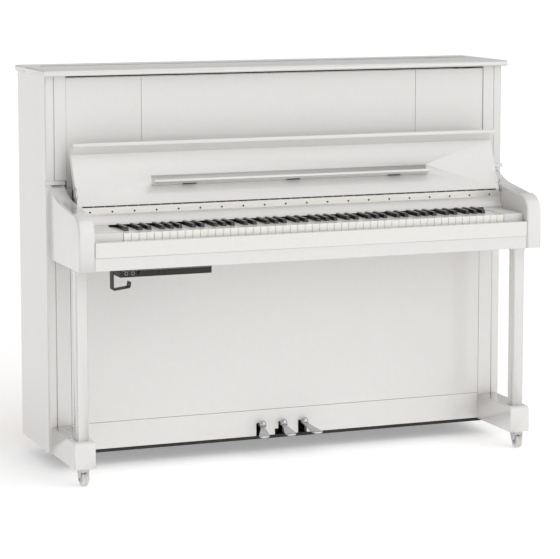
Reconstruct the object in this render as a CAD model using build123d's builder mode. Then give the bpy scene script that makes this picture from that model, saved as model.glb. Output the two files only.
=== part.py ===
from build123d import *
import math
import os

os.makedirs("parts", exist_ok=True)

# An upright piano with a polished case, a built-in mute and a headphone unit.
# Millimetres. +X is the player's right, +Y the back, +Z up. The origin is on the
# floor, under the centre of the overall box.

# ------------------------------------------------------------- overall sizes
WIDTH = 1520.0            # lid, end to end
CASE_DEPTH = 305.0        # side panels, front edge to back
ARM_REACH = 305.0         # arms, ahead of the side panels
HEIGHT = 1210.0           # floor to the top of the lid's hinge

RUN_GAP = 0.6             # between pieces that move past each other
SEAT_GAP = 0.5            # between a piece and the pocket that it sits in

# ------------------------------------------------------------------ the case
SIDE_THICK = 28.0
SIDE_EDGE_R = 4.0
LID_THICK = 18.0
LID_OVERHANG = 8.0        # past each side panel
LID_NOSE = 25.0           # past the case front
LID_BACK_DEPTH = 118.0
LID_EDGE_R = 5.0
LID_BARREL_R = 1.8
PANEL_THICK = 18.0
PANEL_RECESS = 3.0
PANEL_GROOVE_X = 452.0
PANEL_GROOVE = 2.5
PANEL_EDGE_R = 1.5
UPPER_PANEL_BOTTOM = 850.0
UPPER_PANEL_LID_GAP = 6.0
STILE_THICK = 24.0
UPPER_STILE_WIDTH = 36.0
LOWER_STILE_WIDTH = 44.0
CAP_THICK = 12.0          # ledge between each upper stile and arm
CAP_PROUD = 5.0
BOTTOM_RAIL_HEIGHT = 82.0
BOTTOM_RAIL_THICK = 22.0
BOTTOM_BOARD_THICK = 18.0
BOARD_SHOW = 10.0         # bottom board, seen below the bottom rail

# ------------------------------------------------------ arms, legs and toes
ARM_INSET = 11.0          # arm's outer face, inside the side panel's
ARM_WIDTH = 48.0
ARM_BACK_TOP = 866.0
ARM_SHOULDER = 825.0      # height where the hollow runs into the slope
ARM_SHOULDER_RUN = 110.0
ARM_BROW = 808.0          # height where the slope runs into the nose
ARM_BROW_RUN = 70.0
ARM_NOSE = 758.0
ARM_EDGE_R = 6.0
LEG_SIZE = 36.0
LEG_INSET = 31.0          # arm's outer face to the leg's centre
LEG_SETBACK = 84.0        # arm front to leg front
LEG_EDGE_R = 4.0
CAPITAL_SIZE = 48.0
CAPITAL_HEIGHT = 22.0
TOE_INSIDE = 2.5          # toe's inner face, inside the lower stile's
TOE_OUTSIDE = 1.5         # toe's outer face, outside the arm's
TOE_REACH = 239.0
TOE_HEIGHT = 81.0
TOE_BROW_R = 16.0
TOE_EDGE_R = 3.0

# ------------------------------------------------------------------- keybed
KEYBED_LOW = 645.0
KEYBED_THICK = 38.0
KEYBED_STEP = 3.0         # keybed's front edge, behind the key slip's
KEYBED_TAIL = 105.0       # past the case front
SLIP_THICK = 21.0
SLIP_TOP = 728.0
SLIP_EDGE_R = 3.0
BLOCK_RISE = 2.0          # key blocks, above the white keys

# ----------------------------------------------------------------- keyboard
OCTAVE = 165.0
KEYBOARD_SHIFT = 14.0     # keyboard's centre, right of the case's centre
WHITE_COUNT = 52
KEY_GAP = 1.0
KEY_TOP = 749.0
KEY_THICK = 22.0
KEY_NOSE_GAP = 8.5        # key slip to the keys' front ends
HEAD_LENGTH = 50.0
KEY_TAIL = 100.0          # keys' back ends, past the case front
KEY_EDGE_R = 0.8
SHARP_RISE = 11.5
SHARP_LENGTH = 88.0
SHARP_SLOPE = 5.0
SHARP_TOP_WIDTH = 9.5
BALANCE_RUN = 220.0       # keys' front ends to the balance rail
RAIL_GAP = 1.0
FRONT_RAIL_WIDTH = 40.0
BALANCE_RAIL_WIDTH = 40.0
BACK_RAIL_WIDTH = 34.0
FRONT_RAIL_THICK = 17.0
KEY_DIP_ROOM = 14.0       # under the keys' front ends

# ---------------------------------------------------------------- fallboard
HINGE_FORWARD = 118.0     # fallboard's hinge, ahead of the case front
HINGE_Z = 809.0
FALL_LEAN = 24.2          # open, back from upright
FALL_TILT = 12.0          # closed, down from level
FALL_THICK = 20.0
FALL_END_GAP = 4.0
FALL_ROOT = 3.0           # board's lower edge, from the hinge's axis
LIP_LENGTH = 43.0
LIP_THICK = 14.0
LIP_CLEAR = 4.0           # closed lip, ahead of the keys
FALL_EDGE_R = 2.0
FALL_BARREL_R = 2.6
LEAF_HEIGHT = 15.0
LEAF_THICK = 1.5
SCREW_COUNT = 20
SCREW_R = 2.6
SCREW_PROUD = 0.8
STRIP_TOP = 802.0
STRIP_BOTTOM = 757.0
STRIP_THICK = 14.0
STRIP_FLARE = 17.0        # strip's foot, ahead of its top
LEDGE_THICK = 12.0        # board from the strip back to the upper panel
UPSTAND_THICK = 12.0
UPSTAND_LAP = 5.0         # upstand, past the upper panel's lower edge
SHELF_WIDTH = 900.0
SHELF_DEPTH = 31.0
SHELF_THICK = 7.0
SHELF_AT = 60.0           # along the board, from the hinge's axis

# ------------------------------------------------------------------- pedals
PEDAL_PITCH = 70.0
PEDAL_SPLAY = 20.0        # outer toes turn outwards by this much
PEDAL_REACH = 88.0        # ahead of the bottom rail
PEDAL_BAR_WIDTH = 16.0
PEDAL_BAR_THICK = 10.0
PEDAL_BAR_Z = 82.0        # underside
PEDAL_TOE_WIDTH = 38.0
PEDAL_TOE_Z = 62.0
PEDAL_TOE_THICK = 8.0
PEDAL_PIVOT_RUN = 60.0    # behind the rail's front face
PEDAL_TAIL_RUN = 130.0
PEDAL_PIN_R = 4.0
PEDAL_PIN_PLAY = 0.06
PEDAL_BALL_R = 10.5
SLOT_WIDTH = 30.0
SLOT_NARROW = 23.0
SLOT_TOP = 95.0
SLOT_STEP_TOP = 73.0
ROD_R = 6.0
ROD_RUN = 118.0           # behind the case front
ROD_TOP = 770.0
ROD_SHIM = 0.8

# -------------------------------------------------------------- back frame
POST_DEPTH = 90.0
POST_WIDTH = 80.0
POST_COUNT = 5
BACK_TOP_GAP = 9.4        # back frame to the lid's underside
BEAM_HEIGHT = 100.0
RIB_THICK = 17.0
RIB_WIDTH = 24.0
RIB_COUNT = 9
RIB_ANGLE = 32.0
BOARD_THICK = 8.5
BOARD_LOW = 110.0
BOARD_TOP = 1000.0
BACK_SIDE_GAP = 18.0      # back frame to the side panels
PLATE_THICK = 12.0
PLATE_FRONT_RUN = 165.0   # plate's face, behind the case front
PLATE_LOW = 96.0
PLATE_TOP = 1120.0
PLATE_MARGIN = 34.0
TREBLE_RUN = 150.0        # treble strings' plane, behind the case front
BASS_RUN = 140.0
STRIKE_Z = 960.0
NUT_Z = 1000.0            # top end of the strings' speaking length
NOTE_COUNT = 88
BASS_NOTES = 26
SINGLE_STRUNG = 10
BASS_LEAN = 25.0
TREBLE_LEAN = 9.0
BASS_FOOT = 235.0
SHORTEST_STRING = 52.0
STRING_GROWTH = 1.046     # from one note to the next one down
STRING_SPREAD = 3.0
TREBLE_WIRE_R = 0.5
BASS_WIRE_R = 1.2
HITCH_DROP = 42.0
BRIDGE_WIDTH = 30.0
PIN_R = 3.4
PIN_STAND = 26.0
PIN_SEAT = 30.0
PIN_ROW_LOW = 1030.0
PIN_ROW_PITCH = 20.0
PIN_ROWS = 4

# ------------------------------------------------------------------- action
BRACKET_THICK = 3.0
BRACKET_NOTES = (26, 58)  # inner brackets stand before these notes
BUTT_RUN = 88.0           # hammers' centre pins, behind the case front
BUTT_Z = 850.0
SHANK_R = 2.8
HAMMER_GAP = 4.0          # between neighbouring hammers
HAMMER_NOSE_RUN = 108.0
REST_RAIL_Z = 905.0
DAMPER_RUN = 118.0
DAMPER_Z = 800.0
DAMPER_NOTES = 66
TREBLE_DAMPER = 29        # the first treble damper, clear of the crossing bass strings
MUTE_Z = 1000.0

# ----------------------------------------------------------------- casters
WHEEL_R = 20.0
TREAD_WIDTH = 9.0
TREAD_GROOVE = 2.0
AXLE_R = 3.0
AXLE_PLAY = 0.08
FORK_THICK = 3.0
FORK_GAP = 1.0
FRONT_CASTER_SETBACK = 84.0   # arm front to axle
REAR_CASTER_INSET = 60.0      # back to axle

# --------------------------------------------------- control box and hook
BOX_LENGTH = 280.0
BOX_DEPTH = 80.0
BOX_HEIGHT = 22.0
BOX_LEFT = 77.0           # arm's inner face to the box
BOX_SETBACK = 9.0         # arm front to the box
KNOB_R = 6.5
KNOB_PROUD = 6.0
KNOB_AT = 60.0            # from the box's left end
BUTTON_R = 4.0
BUTTON_PROUD = 2.5
BUTTON_AT = 118.0
JACK_R = 3.2
JACK_DEPTH = 30.0
JACK_AT = (18.0, 38.0)
INLET_R = 2.8
INLET_DEPTH = 10.0
HOOK_WIDTH = 30.0
HOOK_STRIP = 3.0
HOOK_DROP = 58.0
HOOK_REACH = 50.0
HOOK_TIP = 16.0

# ---------------------------------------------------------- derived places
DEPTH = CASE_DEPTH + ARM_REACH
BACK_Y = DEPTH / 2
FRONT_Y = -DEPTH / 2
CASE_Y = BACK_Y - CASE_DEPTH
SIDE_OUT = WIDTH / 2 - LID_OVERHANG
SIDE_IN = SIDE_OUT - SIDE_THICK
LID_TOP = HEIGHT - LID_BARREL_R
LID_LOW = LID_TOP - LID_THICK
LID_JOINT_Y = BACK_Y - LID_BACK_DEPTH
CASE_TOP = LID_LOW - RUN_GAP
BOTTOM_BOARD_LOW = 2 * WHEEL_R + FORK_THICK + FORK_GAP
BOTTOM_RAIL_LOW = BOTTOM_BOARD_LOW + BOARD_SHOW
BOTTOM_RAIL_TOP = BOTTOM_RAIL_LOW + BOTTOM_RAIL_HEIGHT
TOE_LOW = BOTTOM_RAIL_LOW - FORK_GAP
SIDE_BOTTOM = BOTTOM_RAIL_LOW + FORK_GAP
BACK_TOP = CASE_TOP - BACK_TOP_GAP
BACK_LOW = BOTTOM_BOARD_LOW + BOTTOM_BOARD_THICK
ARM_OUT = SIDE_OUT - ARM_INSET
ARM_IN = ARM_OUT - ARM_WIDTH
KEYBED_TOP = KEYBED_LOW + KEYBED_THICK
ARM_BOTTOM = KEYBED_LOW
SLIP_BACK_Y = FRONT_Y + SLIP_THICK
KEY_FRONT_Y = SLIP_BACK_Y + KEY_NOSE_GAP
KEY_BACK_Y = CASE_Y + KEY_TAIL
KEY_LOW = KEY_TOP - KEY_THICK
WHITE_PITCH = OCTAVE / 7
KEYS_LEFT = KEYBOARD_SHIFT - WHITE_COUNT * WHITE_PITCH / 2
KEYS_RIGHT = KEYS_LEFT + WHITE_COUNT * WHITE_PITCH
HINGE_Y = CASE_Y - HINGE_FORWARD
FALL_HALF = ARM_IN - FALL_END_GAP
FALL_LENGTH = (HINGE_Y - KEY_FRONT_Y + LIP_CLEAR) / math.cos(math.radians(FALL_TILT))
LEG_FRONT_Y = FRONT_Y + LEG_SETBACK
TOE_TOP = TOE_LOW + TOE_HEIGHT
BACK_HALF = SIDE_IN - BACK_SIDE_GAP
POST_FRONT_Y = BACK_Y - POST_DEPTH
BOARD_BACK_Y = POST_FRONT_Y - RIB_THICK
BOARD_FRONT_Y = BOARD_BACK_Y - BOARD_THICK
PLATE_FRONT_Y = CASE_Y + PLATE_FRONT_RUN
PLATE_BACK_Y = PLATE_FRONT_Y + PLATE_THICK
TREBLE_Y = CASE_Y + TREBLE_RUN
BASS_Y = CASE_Y + BASS_RUN
BUTT_Y = CASE_Y + BUTT_RUN
DAMPER_Y = CASE_Y + DAMPER_RUN
PEDAL_X = (-PEDAL_PITCH, 0.0, PEDAL_PITCH)
TRIM = 1.2                # edge rounding of hidden pieces


def slab(x0, x1, y0, y1, z0, z1):
    """Return a plain block between two corners."""
    size = (x1 - x0, y1 - y0, z1 - z0)
    low_corner = (Align.MIN, Align.MIN, Align.MIN)
    with BuildPart() as block:
        with Locations((x0, y0, z0)):
            Box(*size, align=low_corner)
    return block.part


def rounded_slab(x0, x1, y0, y1, z0, z1, radius, edges_of=None):
    """Return a block whose edges, or those that edges_of picks, are rounded."""
    size = (x1 - x0, y1 - y0, z1 - z0)
    low_corner = (Align.MIN, Align.MIN, Align.MIN)
    with BuildPart() as block:
        with Locations((x0, y0, z0)):
            Box(*size, align=low_corner)
        picked = edges_of(block.edges()) if edges_of else block.edges()
        fillet(picked, min(radius, 0.45 * min(size)))
    return block.part


def save(part, name):
    """Label a finished piece and write it to its file."""
    part.label = name
    export_step(part, f"parts/{name}.step")


def both_sides(right):
    """Return a piece on the right side and its mirror image on the left."""
    with BuildPart() as pair:
        add(right)
        mirror(about=Plane.YZ)
    return pair.part


# ================================================================= the case
def front_edges(edges):
    """Return the edges on the front face."""
    return edges.group_by(Axis.Y)[0]


side_right = rounded_slab(
    SIDE_IN, SIDE_OUT, CASE_Y, BACK_Y, SIDE_BOTTOM, CASE_TOP, SIDE_EDGE_R,
    lambda edges: edges.filter_by(Axis.Z).group_by(Axis.Y)[0],
)
save(side_right, "side_right")
with BuildPart() as side_left:
    add(side_right.mirror(Plane.YZ))
save(side_left.part, "side_left")

# Stiles stand inside the side panels' front edges, above and below the arms.
stile_bottom = ARM_BACK_TOP + CAP_THICK
upper_stile = rounded_slab(
    SIDE_IN - UPPER_STILE_WIDTH, SIDE_IN, CASE_Y, CASE_Y + STILE_THICK,
    stile_bottom, CASE_TOP, PANEL_EDGE_R, front_edges,
)
lower_stile = rounded_slab(
    SIDE_IN - LOWER_STILE_WIDTH, SIDE_IN, CASE_Y, CASE_Y + STILE_THICK,
    BOTTOM_RAIL_LOW, ARM_BOTTOM, PANEL_EDGE_R, front_edges,
)
with BuildPart() as front_stiles:
    add(both_sides(upper_stile))
    add(both_sides(lower_stile))
save(front_stiles.part, "front_stiles")

# The upper panel lies a little behind the stiles and has two upright grooves.
upper_half = SIDE_IN - UPPER_STILE_WIDTH - SEAT_GAP
upper_front = CASE_Y + PANEL_RECESS
upper_top = CASE_TOP - UPPER_PANEL_LID_GAP
with BuildPart() as upper_panel:
    add(rounded_slab(-upper_half, upper_half, upper_front, upper_front + PANEL_THICK,
                     UPPER_PANEL_BOTTOM, upper_top, PANEL_EDGE_R, front_edges))
    groove_middle = (UPPER_PANEL_BOTTOM + upper_top) / 2
    with Locations((-PANEL_GROOVE_X, upper_front, groove_middle),
                   (PANEL_GROOVE_X, upper_front, groove_middle)):
        Box(PANEL_GROOVE, 2 * PANEL_GROOVE, upper_top - UPPER_PANEL_BOTTOM + 2,
            mode=Mode.SUBTRACT)
save(upper_panel.part, "upper_panel")

# The lower panel fills the knee space's back, between the lower stiles.
lower_half = SIDE_IN - LOWER_STILE_WIDTH - 1.5 * SEAT_GAP
lower_panel = rounded_slab(
    -lower_half, lower_half, CASE_Y, CASE_Y + PANEL_THICK,
    BOTTOM_RAIL_TOP + 1.5 * SEAT_GAP, KEYBED_LOW - SEAT_GAP, PANEL_EDGE_R, front_edges,
)
save(lower_panel, "lower_panel")

# The bottom rail has an open-bottomed slot for each pedal. The middle one is
# L-shaped, so that its pedal can be pushed aside and stay down.
with BuildPart() as bottom_rail:
    add(rounded_slab(-lower_half, lower_half, CASE_Y, CASE_Y + BOTTOM_RAIL_THICK,
                     BOTTOM_RAIL_LOW, BOTTOM_RAIL_TOP, PANEL_EDGE_R, front_edges))
    slot_depth = 3 * BOTTOM_RAIL_THICK
    slot_align = (Align.CENTER, Align.CENTER, Align.MAX)
    with Locations((PEDAL_X[0], CASE_Y, SLOT_TOP), (PEDAL_X[2], CASE_Y, SLOT_TOP)):
        Box(SLOT_WIDTH, slot_depth, SLOT_TOP, align=slot_align, mode=Mode.SUBTRACT)
    with Locations((PEDAL_X[1], CASE_Y, SLOT_TOP)):
        Box(SLOT_NARROW, slot_depth, SLOT_TOP, align=slot_align, mode=Mode.SUBTRACT)
    with Locations((PEDAL_X[1] - SLOT_NARROW / 2, CASE_Y, SLOT_STEP_TOP)):
        Box(SLOT_NARROW, slot_depth, SLOT_STEP_TOP, align=slot_align, mode=Mode.SUBTRACT)
save(bottom_rail.part, "bottom_rail")

# The bottom board carries the pedals in pairs of pivot blocks.
board_top = BOTTOM_BOARD_LOW + BOTTOM_BOARD_THICK
pivot_y = CASE_Y + PEDAL_PIVOT_RUN
pivot_z = PEDAL_BAR_Z + PEDAL_BAR_THICK / 2
pivot_block = (12.0, 30.0, pivot_z + 14.0 - board_top)
pivot_offset = PEDAL_BAR_WIDTH / 2 + RUN_GAP + pivot_block[0] / 2
with BuildPart() as bottom_board:
    board_front = CASE_Y + BOTTOM_RAIL_THICK + SEAT_GAP
    add(slab(-SIDE_IN + SEAT_GAP, SIDE_IN - SEAT_GAP, CASE_Y + PANEL_EDGE_R, BACK_Y - SEAT_GAP,
             BOTTOM_BOARD_LOW, BOTTOM_RAIL_LOW))
    add(slab(-SIDE_IN + SEAT_GAP, SIDE_IN - SEAT_GAP, board_front + STILE_THICK, BACK_Y - SEAT_GAP,
             BOTTOM_RAIL_LOW, board_top))
    block_places = [(x + side * pivot_offset, pivot_y, board_top)
                    for x in PEDAL_X for side in (-1, 1)]
    with Locations(*block_places):
        Box(*pivot_block, align=(Align.CENTER, Align.CENTER, Align.MIN))
    with Locations(Plane.YZ.offset(PEDAL_X[2] + 40)):
        with Locations((pivot_y, pivot_z)):
            Cylinder(PEDAL_PIN_R + PEDAL_PIN_PLAY, 2 * PEDAL_PITCH + 80,
                     align=(Align.CENTER, Align.CENTER, Align.MAX), mode=Mode.SUBTRACT)
save(bottom_board.part, "bottom_board")

# ================================================================== the lid
lid_half = WIDTH / 2
lid_joint_half_gap = LID_BARREL_R + RUN_GAP


def lid_section(y0, y1, far_edge):
    """Return one section of the lid, hollowed along its hinge edge."""
    with BuildPart() as section:
        with Locations((-lid_half, y0, LID_LOW)):
            Box(WIDTH, y1 - y0, LID_THICK, align=(Align.MIN, Align.MIN, Align.MIN))
        ends = section.edges().filter_by(Axis.Y)
        long_edges = section.edges().filter_by(Axis.X).group_by(Axis.Y)[far_edge]
        fillet(ends + long_edges, LID_EDGE_R)
        with Locations(Plane.YZ.offset(-lid_half - 1)):
            with Locations((LID_JOINT_Y, LID_TOP)):
                Cylinder(lid_joint_half_gap, WIDTH + 2,
                         align=(Align.CENTER, Align.CENTER, Align.MIN), mode=Mode.SUBTRACT)
    return section.part


save(lid_section(LID_JOINT_Y + RUN_GAP, BACK_Y, -1), "lid_back")
save(lid_section(CASE_Y - LID_NOSE, LID_JOINT_Y - RUN_GAP, 0), "lid_front")

# The lid's long hinge lies in the joint, flush with the top but for its barrel.
hinge_half = lid_half - 40.0
with BuildPart() as lid_hinge:
    with Locations(Plane.YZ.offset(-hinge_half)):
        with Locations((LID_JOINT_Y, LID_TOP)):
            Cylinder(LID_BARREL_R, 2 * hinge_half, align=(Align.CENTER, Align.CENTER, Align.MIN))
save(lid_hinge.part, "lid_hinge")

# ====================================================== arms, legs and toes
cap_proud = min(CAP_PROUD, LID_OVERHANG - 1)
with BuildPart() as arm:
    with BuildSketch(Plane.YZ.offset(ARM_IN)):
        with BuildLine():
            bottom = Line((CASE_Y, ARM_BOTTOM), (FRONT_Y, ARM_BOTTOM))
            front = Line(bottom @ 1, (FRONT_Y, ARM_NOSE))
            brow_end = (FRONT_Y + ARM_BROW_RUN, ARM_BROW)
            brow_mid = (FRONT_Y + 0.27 * ARM_BROW_RUN, ARM_NOSE + 0.72 * (ARM_BROW - ARM_NOSE))
            nose = ThreePointArc(front @ 1, brow_mid, brow_end)
            slope = Line(nose @ 1, (CASE_Y - ARM_SHOULDER_RUN, ARM_SHOULDER))
            hollow_mid = (CASE_Y - 0.46 * ARM_SHOULDER_RUN,
                          ARM_SHOULDER + 0.36 * (ARM_BACK_TOP - ARM_SHOULDER))
            hollow = ThreePointArc(slope @ 1, hollow_mid, (CASE_Y, ARM_BACK_TOP))
            Line(hollow @ 1, bottom @ 0)
        make_face()
    extrude(amount=ARM_WIDTH)
    seen = arm.edges().filter_by(
        lambda edge: edge.center().Y < CASE_Y - 1 and edge.center().Z > ARM_BOTTOM + 1
    )
    rim = [edge for edge in seen if not math.isclose(abs(edge.tangent_at(0.5).X), 1, abs_tol=0.01)]
    fillet(rim, ARM_EDGE_R)
arm_cap = rounded_slab(
    ARM_IN, SIDE_OUT + cap_proud, CASE_Y - CAP_PROUD, CASE_Y, ARM_BACK_TOP, stile_bottom,
    PANEL_EDGE_R, front_edges,
)
with BuildPart() as arms:
    add(both_sides(arm.part))
    add(both_sides(arm_cap))
save(arms.part, "arms")

# Each leg is a square column with a hollowed capital under the arm.
leg_y = LEG_FRONT_Y + LEG_SIZE / 2
leg_x = ARM_OUT - LEG_INSET
with BuildPart() as leg:
    with BuildSketch(Plane.XY.offset(TOE_TOP)):
        with Locations((leg_x, leg_y)):
            RectangleRounded(LEG_SIZE, LEG_SIZE, LEG_EDGE_R)
    extrude(amount=ARM_BOTTOM - TOE_TOP)
    with BuildSketch(Plane.XY.offset(ARM_BOTTOM - CAPITAL_HEIGHT)):
        with Locations((leg_x, leg_y)):
            RectangleRounded(CAPITAL_SIZE, CAPITAL_SIZE, 2.0)
    extrude(amount=CAPITAL_HEIGHT)
    cove_low = ARM_BOTTOM - CAPITAL_HEIGHT
    cove_out = CAPITAL_SIZE / 2 + 1.5
    cove_r = cove_out - LEG_SIZE / 2
    for plane, centre in ((Plane.XZ, leg_x), (Plane.YZ, leg_y)):
        with BuildSketch(plane.offset(-leg_y - 40 if plane == Plane.XZ else leg_x - 40)):
            with Locations((centre - cove_out, cove_low), (centre + cove_out, cove_low)):
                Ellipse(cove_r, CAPITAL_HEIGHT - 4)
        extrude(amount=80, mode=Mode.SUBTRACT)
save(both_sides(leg.part), "legs")

# Toes run forward from the case under the legs. A caster sits under each.
toe_in = SIDE_IN - LOWER_STILE_WIDTH - TOE_INSIDE
toe_width = ARM_OUT + TOE_OUTSIDE - toe_in
with BuildPart() as toe:
    with Locations((toe_in, CASE_Y, TOE_LOW)):
        Box(toe_width, TOE_REACH, TOE_HEIGHT, align=(Align.MIN, Align.MAX, Align.MIN))
    fillet(toe.edges().filter_by(Axis.X).group_by(Axis.Y)[0].sort_by(Axis.Z)[-1], TOE_BROW_R)
    top_rim = toe.edges().filter_by(
        lambda edge: abs(edge.tangent_at(0.5).X) < 0.01 and edge.center().Y < CASE_Y - 1
        and edge.center().Z > TOE_LOW + 1
    )
    fillet(top_rim, TOE_EDGE_R)
save(both_sides(toe.part), "toes")

# =================================================================== keybed
keybed = rounded_slab(
    -ARM_IN, ARM_IN, FRONT_Y + KEYBED_STEP, CASE_Y - RUN_GAP, KEYBED_LOW, KEYBED_TOP,
    PANEL_EDGE_R, front_edges,
)
with BuildPart() as keybed_all:
    add(keybed)
    add(slab(-lower_half, lower_half, CASE_Y - RUN_GAP, CASE_Y + KEYBED_TAIL, KEYBED_LOW, KEYBED_TOP))
save(keybed_all.part, "keybed")
key_slip = rounded_slab(
    -ARM_IN + SEAT_GAP, ARM_IN - SEAT_GAP, FRONT_Y, SLIP_BACK_Y, KEYBED_TOP, SLIP_TOP,
    SLIP_EDGE_R, front_edges,
)
save(key_slip, "key_slip")

strip_foot_y = HINGE_Y - STRIP_FLARE
block_back_y = strip_foot_y + STRIP_THICK
block_ends = ((-ARM_IN + SEAT_GAP, KEYS_LEFT - KEY_GAP), (KEYS_RIGHT + KEY_GAP, ARM_IN - SEAT_GAP))
with BuildPart() as key_blocks:
    for left_end, right_end in block_ends:
        add(rounded_slab(left_end, right_end, KEY_FRONT_Y, block_back_y,
                         KEYBED_TOP, KEY_TOP + BLOCK_RISE, PANEL_EDGE_R))
        add(slab(left_end, right_end, strip_foot_y + PANEL_EDGE_R, block_back_y,
                 KEYBED_TOP, STRIP_BOTTOM - SEAT_GAP))
save(key_blocks.part, "key_blocks")

# The keys lie over three rails: front, balance and back.
balance_y = KEY_FRONT_Y + BALANCE_RUN
rail_left = KEYS_LEFT - 0.5 * KEY_GAP
rail_right = KEYS_RIGHT + 0.5 * KEY_GAP
rail_top = KEY_LOW - RAIL_GAP
with BuildPart() as key_frame:
    add(slab(rail_left, rail_right, KEY_FRONT_Y + 8, KEY_FRONT_Y + 8 + FRONT_RAIL_WIDTH,
             KEYBED_TOP, min(KEYBED_TOP + FRONT_RAIL_THICK, KEY_LOW - KEY_DIP_ROOM)))
    add(slab(rail_left, rail_right, balance_y - BALANCE_RAIL_WIDTH / 2,
             balance_y + BALANCE_RAIL_WIDTH / 2, KEYBED_TOP, rail_top - RAIL_GAP))
    add(slab(rail_left, rail_right, KEY_BACK_Y - 4 - BACK_RAIL_WIDTH, KEY_BACK_Y - 4,
             KEYBED_TOP, rail_top))
save(key_frame.part, "key_frame")

# ================================================================= the keys
# Within C-E and within F-B the key sticks behind the heads are equally wide.
STICK_CE = 3 * WHITE_PITCH / 5
STICK_FB = 4 * WHITE_PITCH / 7
HAMMER_WIDTH = STICK_FB - HAMMER_GAP
PITCH_NAMES = ("c", "c_sharp", "d", "d_sharp", "e", "f", "f_sharp", "g", "g_sharp",
               "a", "a_sharp", "b")
WHITE_STEPS = (0, 2, 4, 5, 7, 9, 11)
FIRST_PITCH = 9           # the lowest key is an A


def stick_span(step):
    """Return a key stick's left and right edge within its octave."""
    if step < 5:
        left = step * STICK_CE
        return left, left + STICK_CE
    left = 3 * WHITE_PITCH + (step - 5) * STICK_FB
    return left, left + STICK_FB


def octave_left(index):
    """Return the X of the C that starts a key's octave."""
    whites_before_c = 2
    octave = (index + FIRST_PITCH) // 12 - 1
    return KEYS_LEFT + whites_before_c * WHITE_PITCH + octave * OCTAVE


def key_centre(index):
    """Return the X of a key stick's centre, with key 0 the lowest."""
    left, right = stick_span((index + FIRST_PITCH) % 12)
    return octave_left(index) + (left + right) / 2


def white_key(step, open_left=False, open_right=False):
    """Return one white key, its octave's C edge at X 0."""
    number = WHITE_STEPS.index(step)
    head_left = number * WHITE_PITCH + KEY_GAP / 2
    head_right = (number + 1) * WHITE_PITCH - KEY_GAP / 2
    tail_left, tail_right = stick_span(step)
    tail_left = head_left if open_left else max(tail_left + KEY_GAP / 2, head_left)
    tail_right = head_right if open_right else min(tail_right - KEY_GAP / 2, head_right)
    with BuildPart() as key:
        with BuildSketch(Plane.XY.offset(KEY_LOW)):
            with Locations((head_left, KEY_FRONT_Y)):
                Rectangle(head_right - head_left, HEAD_LENGTH, align=(Align.MIN, Align.MIN))
            with Locations((tail_left, KEY_FRONT_Y)):
                Rectangle(tail_right - tail_left, KEY_BACK_Y - KEY_FRONT_Y,
                          align=(Align.MIN, Align.MIN))
        extrude(amount=KEY_THICK)
        front = key.faces().sort_by(Axis.Y)[0]
        fillet(front.edges().sort_by(Axis.Z)[1:], KEY_EDGE_R)
    return key.part


def sharp_key(step):
    """Return one black key with its raised cap, its octave's C edge at X 0."""
    left, right = stick_span(step)
    left += KEY_GAP / 2
    right -= KEY_GAP / 2
    cap_front = KEY_FRONT_Y + HEAD_LENGTH + KEY_GAP
    middle = (left + right) / 2
    with BuildPart() as key:
        add(slab(left, right, cap_front, KEY_BACK_Y, KEY_LOW, KEY_TOP - 1))
        cap_low = KEY_TOP - 1
        cap_top = KEY_TOP + SHARP_RISE
        cap_back = cap_front + SHARP_LENGTH
        with BuildSketch(Plane.XY.offset(cap_low)):
            with Locations((middle, (cap_front + cap_back) / 2)):
                Rectangle(right - left, SHARP_LENGTH)
        with BuildSketch(Plane.XY.offset(cap_top)):
            with Locations((middle, (cap_front + SHARP_SLOPE + cap_back) / 2)):
                Rectangle(SHARP_TOP_WIDTH, SHARP_LENGTH - SHARP_SLOPE)
        loft()
        top = key.faces().sort_by(Axis.Z)[-1]
        fillet(top.edges().sort_by(Axis.Y)[:-1], KEY_EDGE_R)
    return key.part


for step, pitch_name in enumerate(PITCH_NAMES):
    sharp = step not in WHITE_STEPS
    shape = sharp_key(step) if sharp else white_key(step)
    indices = [i for i in range(NOTE_COUNT) if (i + FIRST_PITCH) % 12 == step]
    special = {}
    if step == FIRST_PITCH:
        special[0] = white_key(step, open_left=True)
    if step == 0:
        special[NOTE_COUNT - 1] = white_key(step, open_right=True)
    with BuildPart() as keys:
        plain = [(octave_left(i), 0, 0) for i in indices if i not in special]
        with Locations(*plain):
            add(shape)
        for index, end_key in special.items():
            with Locations((octave_left(index), 0, 0)):
                add(end_key)
    save(keys.part, f"keys_{pitch_name}")

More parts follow.
